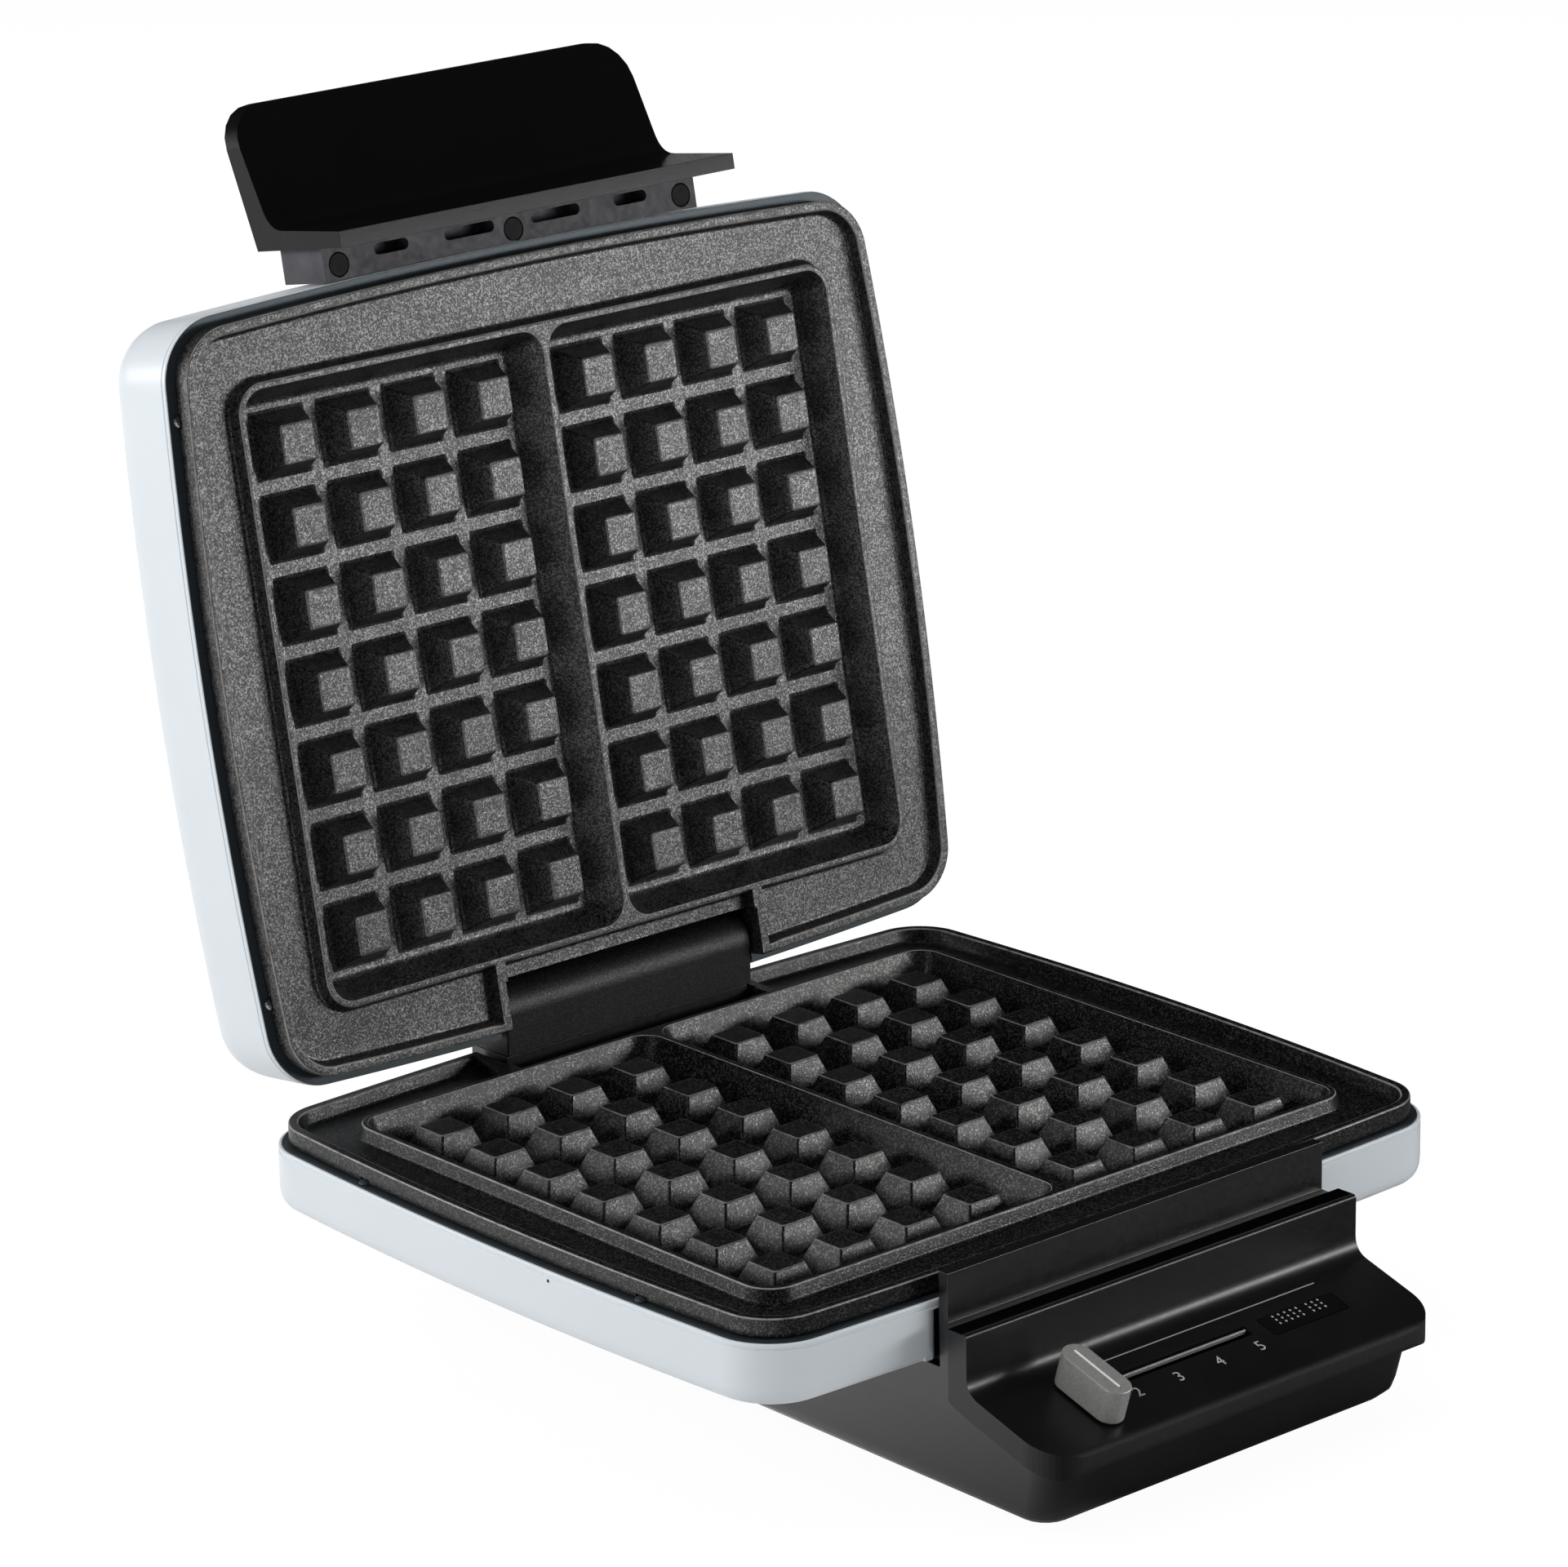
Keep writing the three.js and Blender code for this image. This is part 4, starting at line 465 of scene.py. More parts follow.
# Pedestal housing
# A hollow black moulding that carries everything: walls drawn in a little towards the
# table, a rounded lower edge, and risers in front of the pan and behind it.
merge_gap = 1e-6
flat_angle = math.radians(1.0)
satin_moulding = clouded(
    "satin_moulding", tones=("0b0b0b", "101010", 0.03, 2, patch_reach), gloss=(0.3, 0.4, 0.0015, 3),
    bumps=(0.0005, 0.000012), shine=1.9,
)


def copied(name, node):
    """A copy of a node's mesh with its loose triangles merged and its flats made whole."""
    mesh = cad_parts[node].data.copy()
    mesh.name = name
    whole = bmesh.new()
    whole.from_mesh(mesh)
    bmesh.ops.remove_doubles(whole, verts=whole.verts, dist=merge_gap)
    bmesh.ops.dissolve_limit(whole, angle_limit=flat_angle, verts=whole.verts, edges=whole.edges)
    whole.to_mesh(mesh)
    whole.free()
    made = bpy.data.objects.new(name, mesh)
    bpy.context.scene.collection.objects.link(made)
    return made


finished(
    copied("pedestal_housing", "base_housing"), "base", satin_moulding,
    ["base_housing"], edge=0.0006,
)


# What hides in the pedestal
# Bottom cover with its screws, the mains gland, the terminal block, the thermostat, the
# slide regulator with its carriage, and the screws that hold the pan. Plain mouldings,
# steel screws and glazed ceramic, kept as they are.
dull_moulding = clouded(
    "dull_moulding", tones=("0d0d0e", "151516", 0.02), gloss=(0.34, 0.46, 0.002),
    bumps=(0.0007, 0.00003), shine=0.5,
)
bare_steel = Moulded("bare_steel", Metallic=1.0)
drawn_marks = bare_steel.grain(0.0006, 4, bare_steel.stretched((1, 6, 6)))
bare_steel.surface(
    Base_Color=drawn_marks.spread(*noise_reach).over(srgb("8f9193"), srgb("b4b6b8")),
    Roughness=drawn_marks.spread(*noise_reach, 0.24, 0.42),
    Normal=bare_steel.relief(drawn_marks, 0.00001),
)
glazed_ceramic = clouded(
    "glazed_ceramic", tones=("d9d3c6", "ebe6db", 0.006), gloss=(0.28, 0.5, 0.002),
)
grey_moulding = clouded(
    "grey_moulding", tones=("37363b", "504e54", 0.012, 4, patch_reach), gloss=(0.36, 0.52, 0.002, 3),
    bumps=(0.0008, 0.00003), shine=0.35,
)


def dress(finish, *nodes):
    """Puts a finish on nodes that are shown as they come from the workshop."""
    for node in nodes:
        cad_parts[node].data.materials.clear()
        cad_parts[node].data.materials.append(finish.holder)


dress(dull_moulding, "bottom_cover")
dress(dusty_rubber, "mains_gland")
dress(glazed_ceramic, "terminal_block", "thermostat")
dress(grey_moulding, "slide_regulator", "slider_carriage")
for number in range(1, 5):
    dress(bare_steel, f"cover_screw_{number}", f"pan_screw_{number}")


# Control panel
# One black moulding that hangs on the pedestal's front: an upright leg, a hollow bend and
# a sloping face with a slot for the slider and a sunk seat for the window.
panel_half_width = 75.0
panel_back, leg_front = -121.4, -128.6
panel_top, shelf_inset = -9.6, 1.6
back_start, back_end = panel_top - 6, panel_top - 20.5
knee_y, knee_z = -133.1, -27.6
panel_front = -162.5
face_tilt = math.radians(16.8)
face_fall = math.tan(face_tilt)
face_edge = knee_z - (knee_y - panel_front) * face_fall
panel_wall = 7.0
plumb_wall = panel_wall / math.cos(face_tilt)
panel_bends = [0.4, 1.2, 4.7, 1.4, 3.4, 6.5]
plan_back, plan_low, plan_high = -100.0, -70.0, 10.0
back_corner, front_corner = 1.0, 12.0
side_overrun, face_overrun = 3.0, 6.0
opening_depth = 13.0
slot_line, slot_half_width, slot_corner = 20.3, 2.1, 0.6
slot_ends = (-48.7, 18.3)
window_line, window_middle, window_seat = 18.9, 38.4, 1.2
window_half_length, window_half_width, window_corner = 14.8, 4.1, 0.8
lamp_spread, lamp_hole = 7.2, 2.5


def crossed(profile, half_width):
    """A prism along x: the closed outline of y and z from minus to plus half its width."""
    profile = np.asarray(profile, float)
    rings = np.empty((2, len(profile), 3))
    rings[0, :, 0], rings[1, :, 0] = -half_width, half_width
    rings[..., 1:] = profile
    return rings


def rounded_outline(x0, x1, y0, y1, radii, steps_x=1, steps_y=1, corner_steps=8):
    """A rectangle with round corners, counter-clockwise from the right rear corner: each
    corner is a quarter circle, each side is cut into equal steps. radii is one radius, or
    one for each corner."""
    turn = np.linspace(0, np.pi / 2, corner_steps + 1)
    arcs = []
    ends = ((x1, y1, -1, -1), (x0, y1, 1, -1), (x0, y0, 1, 1), (x1, y0, -1, 1))
    for quarter, ((x, y, inward_x, inward_y), radius) in enumerate(zip(ends, np.broadcast_to(radii, 4))):
        angle = turn + quarter * np.pi / 2
        arcs.append(np.stack([
            x + inward_x * radius + radius * np.cos(angle),
            y + inward_y * radius + radius * np.sin(angle),
        ], axis=-1))
    outline = []
    for quarter, arc in enumerate(arcs):
        steps = (steps_x, steps_y)[quarter % 2]
        share = np.linspace(0, 1, steps + 1)[1:-1, None]
        outline += [arc, arc[-1] + (arcs[(quarter + 1) % 4][0] - arc[-1]) * share]
    return np.concatenate(outline)


def at_heights(outline, heights):
    """The same outline repeated at each height."""
    rings = np.empty((len(heights), len(outline), 3))
    rings[..., :2] = outline
    rings[..., 2] = np.asarray(heights, float)[:, None]
    return rings


def on_face(rings, behind_front):
    """A skin over rings on the sloping face: x across, y up the slope from a line that lies
    behind_front millimetres behind the front edge, z out of the face."""
    rings = np.asarray(rings, float)
    cos, sin = math.cos(face_tilt), math.sin(face_tilt)
    up = rings[..., 1] + behind_front / cos
    return lofted(on_base(np.stack([
        rings[..., 0],
        panel_front + up * cos - rings[..., 2] * sin,
        face_edge + up * sin + rings[..., 2] * cos,
    ], axis=-1)))


panel_outline, _ = softened(
    [
        (panel_back, back_start), (panel_back, panel_top), (leg_front, panel_top),
        (leg_front, knee_z + (leg_front - knee_y) * face_fall), (panel_front, face_edge),
        (panel_front, face_edge - plumb_wall),
        (panel_back, knee_z + (panel_back - knee_y) * face_fall - plumb_wall), (panel_back, back_end),
    ],
    panel_bends, steps=8,
)
front_line = on_base((0, panel_front, 0))[1]
_, shelf_line, shelf_height = on_base((0, leg_front + shelf_inset, panel_top))
shelf_blend, shelf_skin = 0.0003, 0.0001
handled_from, handled_to, handled_roughness = 0.0006, 0.0022, 0.4
satin_panel = Moulded("satin_panel", shine=1.1)
forward = satin_panel.node("ShaderNodeSeparateXYZ", {}, {"Vector": satin_panel.place}, output="Y")
upward = satin_panel.beside(forward, "Z")
handled_front = forward.spread(
    front_line + handled_from, front_line + handled_to, handled_roughness, 0,
)
satin_panel.surface(
    Base_Color=satin_panel.mottled("0c0c0d", "111112", 0.02, reach=patch_reach),
    Roughness=satin_panel.uneven(0.3, 0.4, 0.0015, 3) + handled_front,
    Normal=satin_panel.relief(satin_panel.grain(0.0005), 0.000012),
)
# Painted shade: the top of the leg's shelf behind its front edge is a black matt shader, for the shadow in
# the gap under the riser.
back_of_shelf = forward.spread(shelf_line - shelf_blend, shelf_line)
top_of_shelf = upward.spread(shelf_height - shelf_blend, shelf_height - shelf_skin)
shelf_painted_shade = satin_panel.node("ShaderNodeBsdfDiffuse", {}, {"Color": srgb("060606")})
polished = Shade(satin_panel, satin_panel.nodes["Principled BSDF"].outputs[0])
satin_panel.feed(
    "Material Output", Surface=satin_panel.mixed(back_of_shelf * top_of_shelf, polished, shelf_painted_shade),
)

panel_plan = at_heights(
    rounded_outline(
        -panel_half_width, panel_half_width, panel_front, plan_back,
        (back_corner, back_corner, front_corner, front_corner), corner_steps=12,
    ),
    (plan_low, plan_high),
)
slot_room = at_heights(
    rounded_outline(*slot_ends, -slot_half_width, slot_half_width, slot_corner, corner_steps=3),
    (-opening_depth, face_overrun),
)
window_room = at_heights(
    rounded_outline(
        window_middle - window_half_length, window_middle + window_half_length,
        -window_half_width, window_half_width, window_corner, corner_steps=4,
    ),
    (-window_seat, face_overrun),
)
lamp_room = turned([(lamp_hole, -opening_depth), (lamp_hole, face_overrun)], sides=16)
finished(
    piece("console_panel", lofted(on_base(crossed(panel_outline, panel_half_width + side_overrun)))),
    "base", satin_panel, ["control_panel"], edge=0.0007, edge_angle=38.0, edge_steps=3,
    meet=[piece("panel_plan", lofted(on_base(panel_plan)))],
    cut=[
        piece("slot_cut", on_face(slot_room, slot_line)),
        piece("window_cut", on_face(window_room, window_line)),
        *[
            piece("lamp_cut", on_face(lamp_room + (window_middle + side * lamp_spread, 0, 0), window_line))
            for side in (-1, 1)
        ],
    ],
)


# Window and lamps
# A strip of smoked acrylic let into the panel flush with its face, over the power lamp and
# the ready lamp, which are tinted light guides.
smoked_acrylic = clouded(
    "smoked_acrylic", tones=("0a0a0b", "0f0f11", 0.01), gloss=(0.1, 0.18, 0.003), IOR=1.49,
)
dress(smoked_acrylic, "panel_window")
for guide_name, guide_node, dark, light in (
    ("amber_guide", "power_lamp", "b85a18", "d4752a"), ("green_guide", "ready_lamp", "428c3f", "5aa856"),
):
    dress(clouded(guide_name, tones=(dark, light, 0.002), gloss=(0.2, 0.32, 0.001)), guide_node)


# Heat slider
# A silver-lacquered knob on a stem that stands in the slot, moulded with softened edges and
# wholly round ends, and a white pointer line in the groove along its top.
knob_length, knob_width, knob_height = 24.0, 9.0, 10.5
knob_place = (-46.4, -3.9, 0.6)
knob_edge, knob_inset = 0.6, 4.0
stem_sides = (-1.7, 1.7, -1.8, 0.1)
stem_corner, stem_low, stem_high = 0.3, -9.3, 1.4
groove_half_width, groove_half_length, groove_depth, groove_overrun = 0.5, 9.35, 0.5, 4.0
pointer_half_width, pointer_half_length, pointer_depth = 0.36, 9.1, 0.7
ink_height = 0.03
satin_silver = clouded(
    "satin_silver", tones=("9c9c9a", "b4b4b2", 0.0007, 3, noise_reach), gloss=(0.34, 0.5, 0.0009, 3),
    bumps=(0.0003, 0.00001), Metallic=0.45,
)


def stadium(half_width, half_length, corner_steps, flat=0.001):
    """A long outline with round ends, flat there only for the given half width."""
    return rounded_outline(
        -half_width, half_width, -half_length, half_length, half_width - flat, corner_steps=corner_steps,
    )


def stacked(profile, outline):
    """One outline for each pair of growth and height."""
    return np.concatenate([at_heights(outline(grow), [height]) for grow, height in profile])


def knob_outline(grow):
    """The knob in plan, larger all round by grow."""
    return stadium(knob_width / 2 + grow, knob_length / 2 + grow, 12)


def ink(name, dark, light):
    """Screen-printed ink, a little patchy, which also paints the highlight along the bend."""
    return clouded(name, tones=(dark, light, 0.0008, 3, noise_reach), gloss=(0.5, 0.7, 0.0006))


knob_section, _ = softened(
    [(-knob_inset, 0), (0, 0), (0, knob_height), (-knob_inset, knob_height)],
    [knob_edge, knob_edge], steps=5,
)
knob_rings = stacked(knob_section, knob_outline) + knob_place
stem_rings = at_heights(
    rounded_outline(*stem_sides, stem_corner, corner_steps=2), (stem_low, stem_high),
) + (knob_place[0], 0, 0)
groove_room = at_heights(
    stadium(groove_half_width, groove_half_length, 5),
    (knob_height - groove_depth, knob_height + groove_overrun),
) + knob_place
finished(
    piece("slider_cap", on_face(knob_rings, slot_line)),
    "slider", satin_silver, ["slider_knob"], edge=0.00015, edge_angle=50.0,
    cut=[piece("groove_cut", on_face(groove_room, slot_line))],
    join=[piece("stem", on_face(stem_rings, slot_line))],
)
pointer_rings = at_heights(
    stadium(pointer_half_width, pointer_half_length, 4, flat=0.01),
    (knob_height - pointer_depth, knob_height + ink_height),
) + knob_place
finished(
    piece("pointer_line", on_face(pointer_rings, slot_line)),
    "slider", ink("white_ink", "e6e6e6", "f4f4f4"),
)


# Scale and rail
# Numbers from 1 to 5 and two grids of dots over the lamps, all screen-printed in pale ink, a long
# thin grey line that paints the highlight along the start of the bend, and the drawn steel rail
# of the regulator that shows in the slot.
scale_pitch, scale_line, numeral_size = 15.65, 13.5, 5.6
dot_line, dot_half_width, dot_half_height, dot_corner = 20.2, 0.35, 0.45, 0.34
dot_pitch, dot_row_pitch = 2.3, 1.65
dot_grids = ((29.2, 5), (42.4, 3))
bend_highlight_line, bend_highlight_half_height, bend_highlight_corner = 27.9, 0.2, 0.05
bend_highlight_ends = (-44, 52)
rail_gap, rail_edges, rail_corner = 0.3, (0.45, 1.1), 0.2
rail_heights = (-1.6, -0.25)


def numeral(character, x):
    """A thin printed number, its middle at x on the line of the scale."""
    letter = bpy.data.curves.new("numeral", "FONT")
    letter.body, letter.size, letter.extrude = character, numeral_size, ink_height
    letter.align_x, letter.align_y = "CENTER", "CENTER"
    holder = bpy.data.objects.new("numeral", letter)
    bpy.context.scene.collection.objects.link(holder)
    bpy.context.view_layer.update()
    drawn = bpy.data.meshes.new_from_object(holder.evaluated_get(bpy.context.evaluated_depsgraph_get()))
    points = np.empty(len(drawn.vertices) * 3)
    drawn.vertices.foreach_get("co", points)
    faces = [list(face.vertices) for face in drawn.polygons]
    bpy.data.objects.remove(holder)
    laid, _ = on_face(points.reshape(1, -1, 3) + (x, 0, 0), scale_line)
    return laid, faces


def printed(x0, x1, y0, y1, behind_front, corner, corner_steps):
    """A thin printed bar or dot on the face, or the grey line of painted highlight along the bend."""
    outline = rounded_outline(x0, x1, y0, y1, corner, corner_steps=corner_steps)
    return on_face(at_heights(outline, (-ink_height, ink_height)), behind_front)


pale_ink = ink("pale_ink", "9d9ea0", "b6b7b9")
numerals = [numeral(str(step + 1), knob_place[0] + step * scale_pitch) for step in range(5)]
finished(piece("printed_numbers", *numerals), "base", pale_ink)
dot_columns = [first + dot_pitch * step for first, count in dot_grids for step in range(count)]
dots = [
    printed(
        x - dot_half_width, x + dot_half_width, y - dot_half_height, y + dot_half_height,
        dot_line, dot_corner, 3,
    )
    for x in dot_columns for y in (-dot_row_pitch, 0, dot_row_pitch)
]
finished(piece("printed_dots", *dots), "base", pale_ink)
# Painted highlight: a thin grey line along the start of the bend, laid on the face like print.
bend_highlight = printed(*bend_highlight_ends, -bend_highlight_half_height, bend_highlight_half_height, bend_highlight_line, bend_highlight_corner, 2)
finished(piece("painted_bend_highlight", bend_highlight), "base", ink("grey_ink", "92929a", "aaaab2"))
rail_rings = at_heights(
    rounded_outline(
        slot_ends[0] + rail_gap, slot_ends[1] - rail_gap, *rail_edges, rail_corner, corner_steps=3,
    ),
    rail_heights,
)
finished(
    piece("slot_rail", on_face(rail_rings, slot_line)), "base", satin_silver, edge=0.00015,
)


# Pan under the lower plate
# A deep-drawn tray with an enamelled pale finish: rounded lower edge, a fine groove under
# its lip, a recess in front for the riser, a slot behind for the hinge, and a drip hole whose
# dark disc is painted shade.
corner_x, corner_y, corner_radius = 113.0, 93.82, 14.0
plate_half_x, plate_half_y = corner_x + corner_radius, corner_y + corner_radius
side_bulge, end_bulge = 4.6, 3.5
side_steps, corner_cuts = 24, 12
lip_reach, lip_top, lip_edge = 2.93, -4.6, 0.6
groove_low, groove_high, groove_slope, groove_sink, groove_edge = 1.9, 1.2, 0.15, 0.28, 0.1
ring_seat_reach, ring_seat = 1.9, -6.0
seat_edge, seat_bend = 0.3, 0.4
wall, underside_flat, lower_edge_share = 2.4, 2.0, 1.35
pan_under, pan_inside, pan_edge = -23.3, -21.4, 4.5
recess_half_width, recess_radius, recess_top = 69.0, 6.0, -7.2
recess_depth, recess_skirt = 9.0, 3.0
riser_half_width, riser_front, riser_back = 47.2, 98.15, 125.0
return_inset, return_low, return_gap = -0.6, 0.5, 0.05
drip_place = (-134.28, -25.7, -7.4)
drip_radius, drip_depth, drip_proud = 0.5, 0.5, 0.06


def plate_outline(half_x, half_y, radius):
    """A rounded rectangle with as many points as every outline of a tray or plate."""
    return rounded_outline(-half_x, half_x, -half_y, half_y, radius, side_steps, side_steps, corner_cuts)


def barrel(grow):
    """The plate's outline larger all round by grow: a rounded rectangle whose sides swell
    by a parabola, most at their middles, and not at all at the corners."""
    radius = corner_radius + grow
    half_x, half_y = corner_x + radius, corner_y + radius
    outline = plate_outline(half_x, half_y, radius)
    x_share, y_share = outline[:, 0] / half_x, outline[:, 1] / half_y
    return outline + np.stack([
        side_bulge * x_share * (1 - y_share ** 2), end_bulge * y_share * (1 - x_share ** 2),
    ], axis=-1)


def boxed(x0, x1, y0, y1, z0, z1):
    """A plain block, for cutting."""
    return at_heights(np.array([(x1, y1), (x0, y1), (x0, y0), (x1, y0)], float), (z0, z1))


def tray_profile(under, inside, edge, draft):
    """The wall of a tray from the middle of its underside, round its lower edge, up over the
    lip and down inside to its floor, as pairs of growth and height."""
    foot = lip_reach - draft
    sunk = lip_reach - groove_sink
    return softened(
        [
            (foot - edge - underside_flat, under), (foot, under),
            (lip_reach, lip_top - groove_low), (sunk, lip_top - groove_low + groove_slope),
            (sunk, lip_top - groove_high - groove_slope), (lip_reach, lip_top - groove_high),
            (lip_reach, lip_top), (ring_seat_reach, lip_top), (ring_seat_reach, ring_seat),
            (lip_reach - wall, ring_seat), (foot - wall, inside), (foot - wall - edge, inside),
        ],
        [edge * lower_edge_share, *[groove_edge] * 4, lip_edge, seat_edge, 0, seat_bend, edge], steps=7,
    )[0]


recess_share = panel_half_width / (plate_half_x + recess_skirt)
recess_face = -(plate_half_y + recess_skirt + end_bulge * (1 - recess_share ** 2))
recess_back = recess_face + recess_depth


def recess(grow, low, high, ahead):
    """The room of the pan's front recess, larger by grow: a straight back, and sides that
    turn outwards in a quarter circle where they meet the wall. It begins ahead of them."""
    outer = recess_half_width + recess_radius
    middle = recess_face + recess_radius
    radius = recess_radius - grow
    right_arc = -np.linspace(np.pi / 2, np.pi, 10)
    left_arc = np.linspace(0, -np.pi / 2, 10)
    outline = np.concatenate([
        [(-outer, recess_face - ahead), (outer, recess_face - ahead)],
        np.stack([outer + radius * np.cos(right_arc), middle + radius * np.sin(right_arc)], axis=-1),
        [(outer - radius, recess_back + grow), (radius - outer, recess_back + grow)],
        np.stack([-outer + radius * np.cos(left_arc), middle + radius * np.sin(left_arc)], axis=-1),
    ])
    return lofted(on_base(at_heights(outline, (low, high))))


pale_enamel = clouded(
    "pale_enamel", tones=("d5dce1", "d8dee3", 0.05, 3, patch_reach), gloss=(0.28, 0.31, 0.02, 3),
    bumps=(0.004, 0.000001), shine=0.7,
)
pan_rings = stacked(tray_profile(pan_under, pan_inside, pan_edge, 0), barrel)
riser_room = boxed(
    -riser_half_width, riser_half_width, riser_front, riser_back,
    pan_under - face_overrun, lip_top + face_overrun,
)
finished(
    piece("drawn_pan", lofted(on_base(pan_rings))),
    "base", pale_enamel, ["lower_pan"], edge=0.0003, edge_angle=50.0,
    join=[piece("return_wall", recess(wall, pan_inside - return_low, ring_seat - return_gap, return_inset))],
    cut=[
        piece("recess_cut", recess(0, pan_under - face_overrun, recess_top, face_overrun)),
        piece("riser_cut", lofted(on_base(riser_room))),
    ],
)
# Painted shade: a dark disc a little proud of the pan's wall stands for the shadow in the drip hole.
drip_profile = [(0, -drip_depth), (drip_radius, -drip_depth), (drip_radius, drip_proud), (0, drip_proud)]
drip_rings = turned(drip_profile, sides=16)[..., [2, 1, 0]] * (-1, 1, 1) + drip_place
finished(
    piece("drip_hole_painted_shade", lofted(on_base(drip_rings), False, False)),
    "base", dull_moulding,
)


# Heaters and reflectors
# Under each plate a sheathed heating tube lies over a sheet that throws its heat back. Bent
# tube with a scaled sheath and pressed steel sheet, which pan, lid and plates hide.
heat_dulled_sheet = Moulded("heat_dulled_sheet", Metallic=1.0)
rolling_marks = heat_dulled_sheet.grain(0.0008, 4, heat_dulled_sheet.stretched((1, 0.06, 1)))
heat_dulled_sheet.surface(
    Base_Color=heat_dulled_sheet.mottled("a39a8c", "b9bab8", 0.03),
    Roughness=rolling_marks.spread(*noise_reach, 0.3, 0.5),
    Normal=heat_dulled_sheet.relief(rolling_marks, 0.00001),
)
scaled_sheath = clouded(
    "scaled_sheath", tones=("48403a", "6f675d", 0.01, 4), gloss=(0.45, 0.7, 0.002), Metallic=0.7,
)
dress(heat_dulled_sheet, "lower_reflector", "upper_reflector")
dress(scaled_sheath, "lower_heater", "upper_heater")


# Trim rings
# Flat bands of rolled strip, blued by the heat, that lie on the ledge inside pan and lid
# under the rims of the plates, notched at the hinge. Only the lid's one caps the lip.
band_bottom, band_top, band_inner, band_outer = -5.7, -4.3, -2.2, 1.6
band_seam, band_edge, cap_under, cap_edge = -1.0, 0.35, -4.62, 0.12
notch_half_width, notch_start, notch_end = 48.8, 96.0, 125.0
band_notch = (-12, 4)
hinge_y, hinge_z = 105.95, 15.16
lid_hinge_height = 10.96
lid_lean = math.radians(180 - 100.86)
blued_strip = Moulded("blued_strip", shine=0.6, Metallic=0.35)
rolled_lines = blued_strip.grain(0.0012, 4, blued_strip.stretched((1, 1, 14)))
blued_strip.surface(
    Base_Color=rolled_lines.spread(*noise_reach).over(srgb("30363a"), srgb("3d454a")),
    Roughness=rolled_lines.spread(*noise_reach, 0.3, 0.4),
    Normal=blued_strip.relief(rolled_lines, 0.000004),
)


def ring_profile(cap):
    """A band on the ledge whose top goes out over the lip as far as the growth of cap."""
    return softened(
        [
            (band_seam, band_bottom), (band_outer, band_bottom), (band_outer, cap_under),
            (cap, cap_under), (cap, band_top), (band_inner, band_top), (band_inner, band_bottom),
            (band_seam, band_bottom),
        ],
        [band_edge, 0, cap_edge, cap_edge, band_edge, band_edge], steps=3,
    )[0]


def in_lid(points):
    """The lid's own frame, to metres on the table: x across, y from the hinge side to the
    handle side, z out of the cooking face, hung on the hinge and opened."""
    points = np.asarray(points, float)
    y, z = points[..., 1] + hinge_y, points[..., 2] + lid_hinge_height
    return on_base(np.stack([
        points[..., 0],
        y * math.cos(lid_lean) - z * math.sin(lid_lean) + hinge_y,
        y * math.sin(lid_lean) + z * math.cos(lid_lean) + hinge_z,
    ], axis=-1))


def hinge_notch(placed, hinge_side, low, high):
    """A block that makes room for the hinge in a band, a plate or the lid."""
    reach = sorted((hinge_side * notch_start, hinge_side * notch_end))
    return piece("notch", lofted(placed(boxed(-notch_half_width, notch_half_width, *reach, low, high))))


for ring_name, ring_body, placed, hinge_side, cap in (
    ("lower_trim_ring", "base", on_base, 1, 1.9), ("upper_trim_ring", "lid", in_lid, -1, 2.7),
):
    finished(
        piece(f"{ring_name}_band", lofted(placed(stacked(ring_profile(cap), barrel)), False, False)),
        ring_body, blued_strip, [ring_name],
        cut=[hinge_notch(placed, hinge_side, *band_notch)],
    )


# Cooking plates
# Two aluminium castings with two cavities of 28 square pegs each, a ridge round them, a
# lower land and a raised rim. Their speckled non-stick coating has rubbed through to a
# thin light line along the ridges and rims.
peg_pitch, row_pitch, first_column = 24.0, 23.84, 19.7
peg_columns, peg_rows = 4, 7
peg_top, peg_base, peg_height, peg_root = 5.65, 9.2, 9.1, 0.6
peg_skirt, peg_corner, peg_wear_share = 1.1, 0.75, 0.75
peg_dip, peg_start, peg_flat, peg_bend, peg_edge = 0.05, 0.1, 2.0, 1.0, 0.5
rim_rise, rim_width, rim_foot, rim_start, rim_edge, rim_bend = 1.6, 2.8, 3.7, -2.0, 0.6, 0.9
rim_under, rim_chamfer, tub_top = -4.0, 0.4, -5.5
land, land_reach = -2.6, 8.0
tub_levels = ((108.4, 87.22, 6.0, -12.6), (111.2, 90.0, 8.6, tub_top))
ridge_x, ridge_y, ridge_radius, ridge_rise = 111.8, 90.62, 9.2, 1.6
ridge_skirt, ridge_foot, ridge_half_top, ridge_bend, ridge_edge = 5.0, 1.0, 0.75, 0.9, 0.5
cavity_lip, cavity_slope, floor_reach, cavity_edge, floor_bend = (-0.05, 0.1), 4.7, 7.5, 0.3, 1.6
cavity_inner, cavity_outer, cavity_end, cavity_radius = 0.85, 110.1, 88.92, 7.5
inner_slide_share, radius_slide_share = 6.15 / cavity_slope, 4.5 / cavity_slope
rib_start, rib_end, rib_inner, rib_outer, rib_low, rib_high = 89.8, 110.0, 48.0, 51.6, -3.4, 1.59
dent_radius, dent_low, dent_inset = 2.2, -7.0, 0.2
plate_notch = (-20, 8)
flake_size, worn_tone = 0.0004, "a3a3a0"


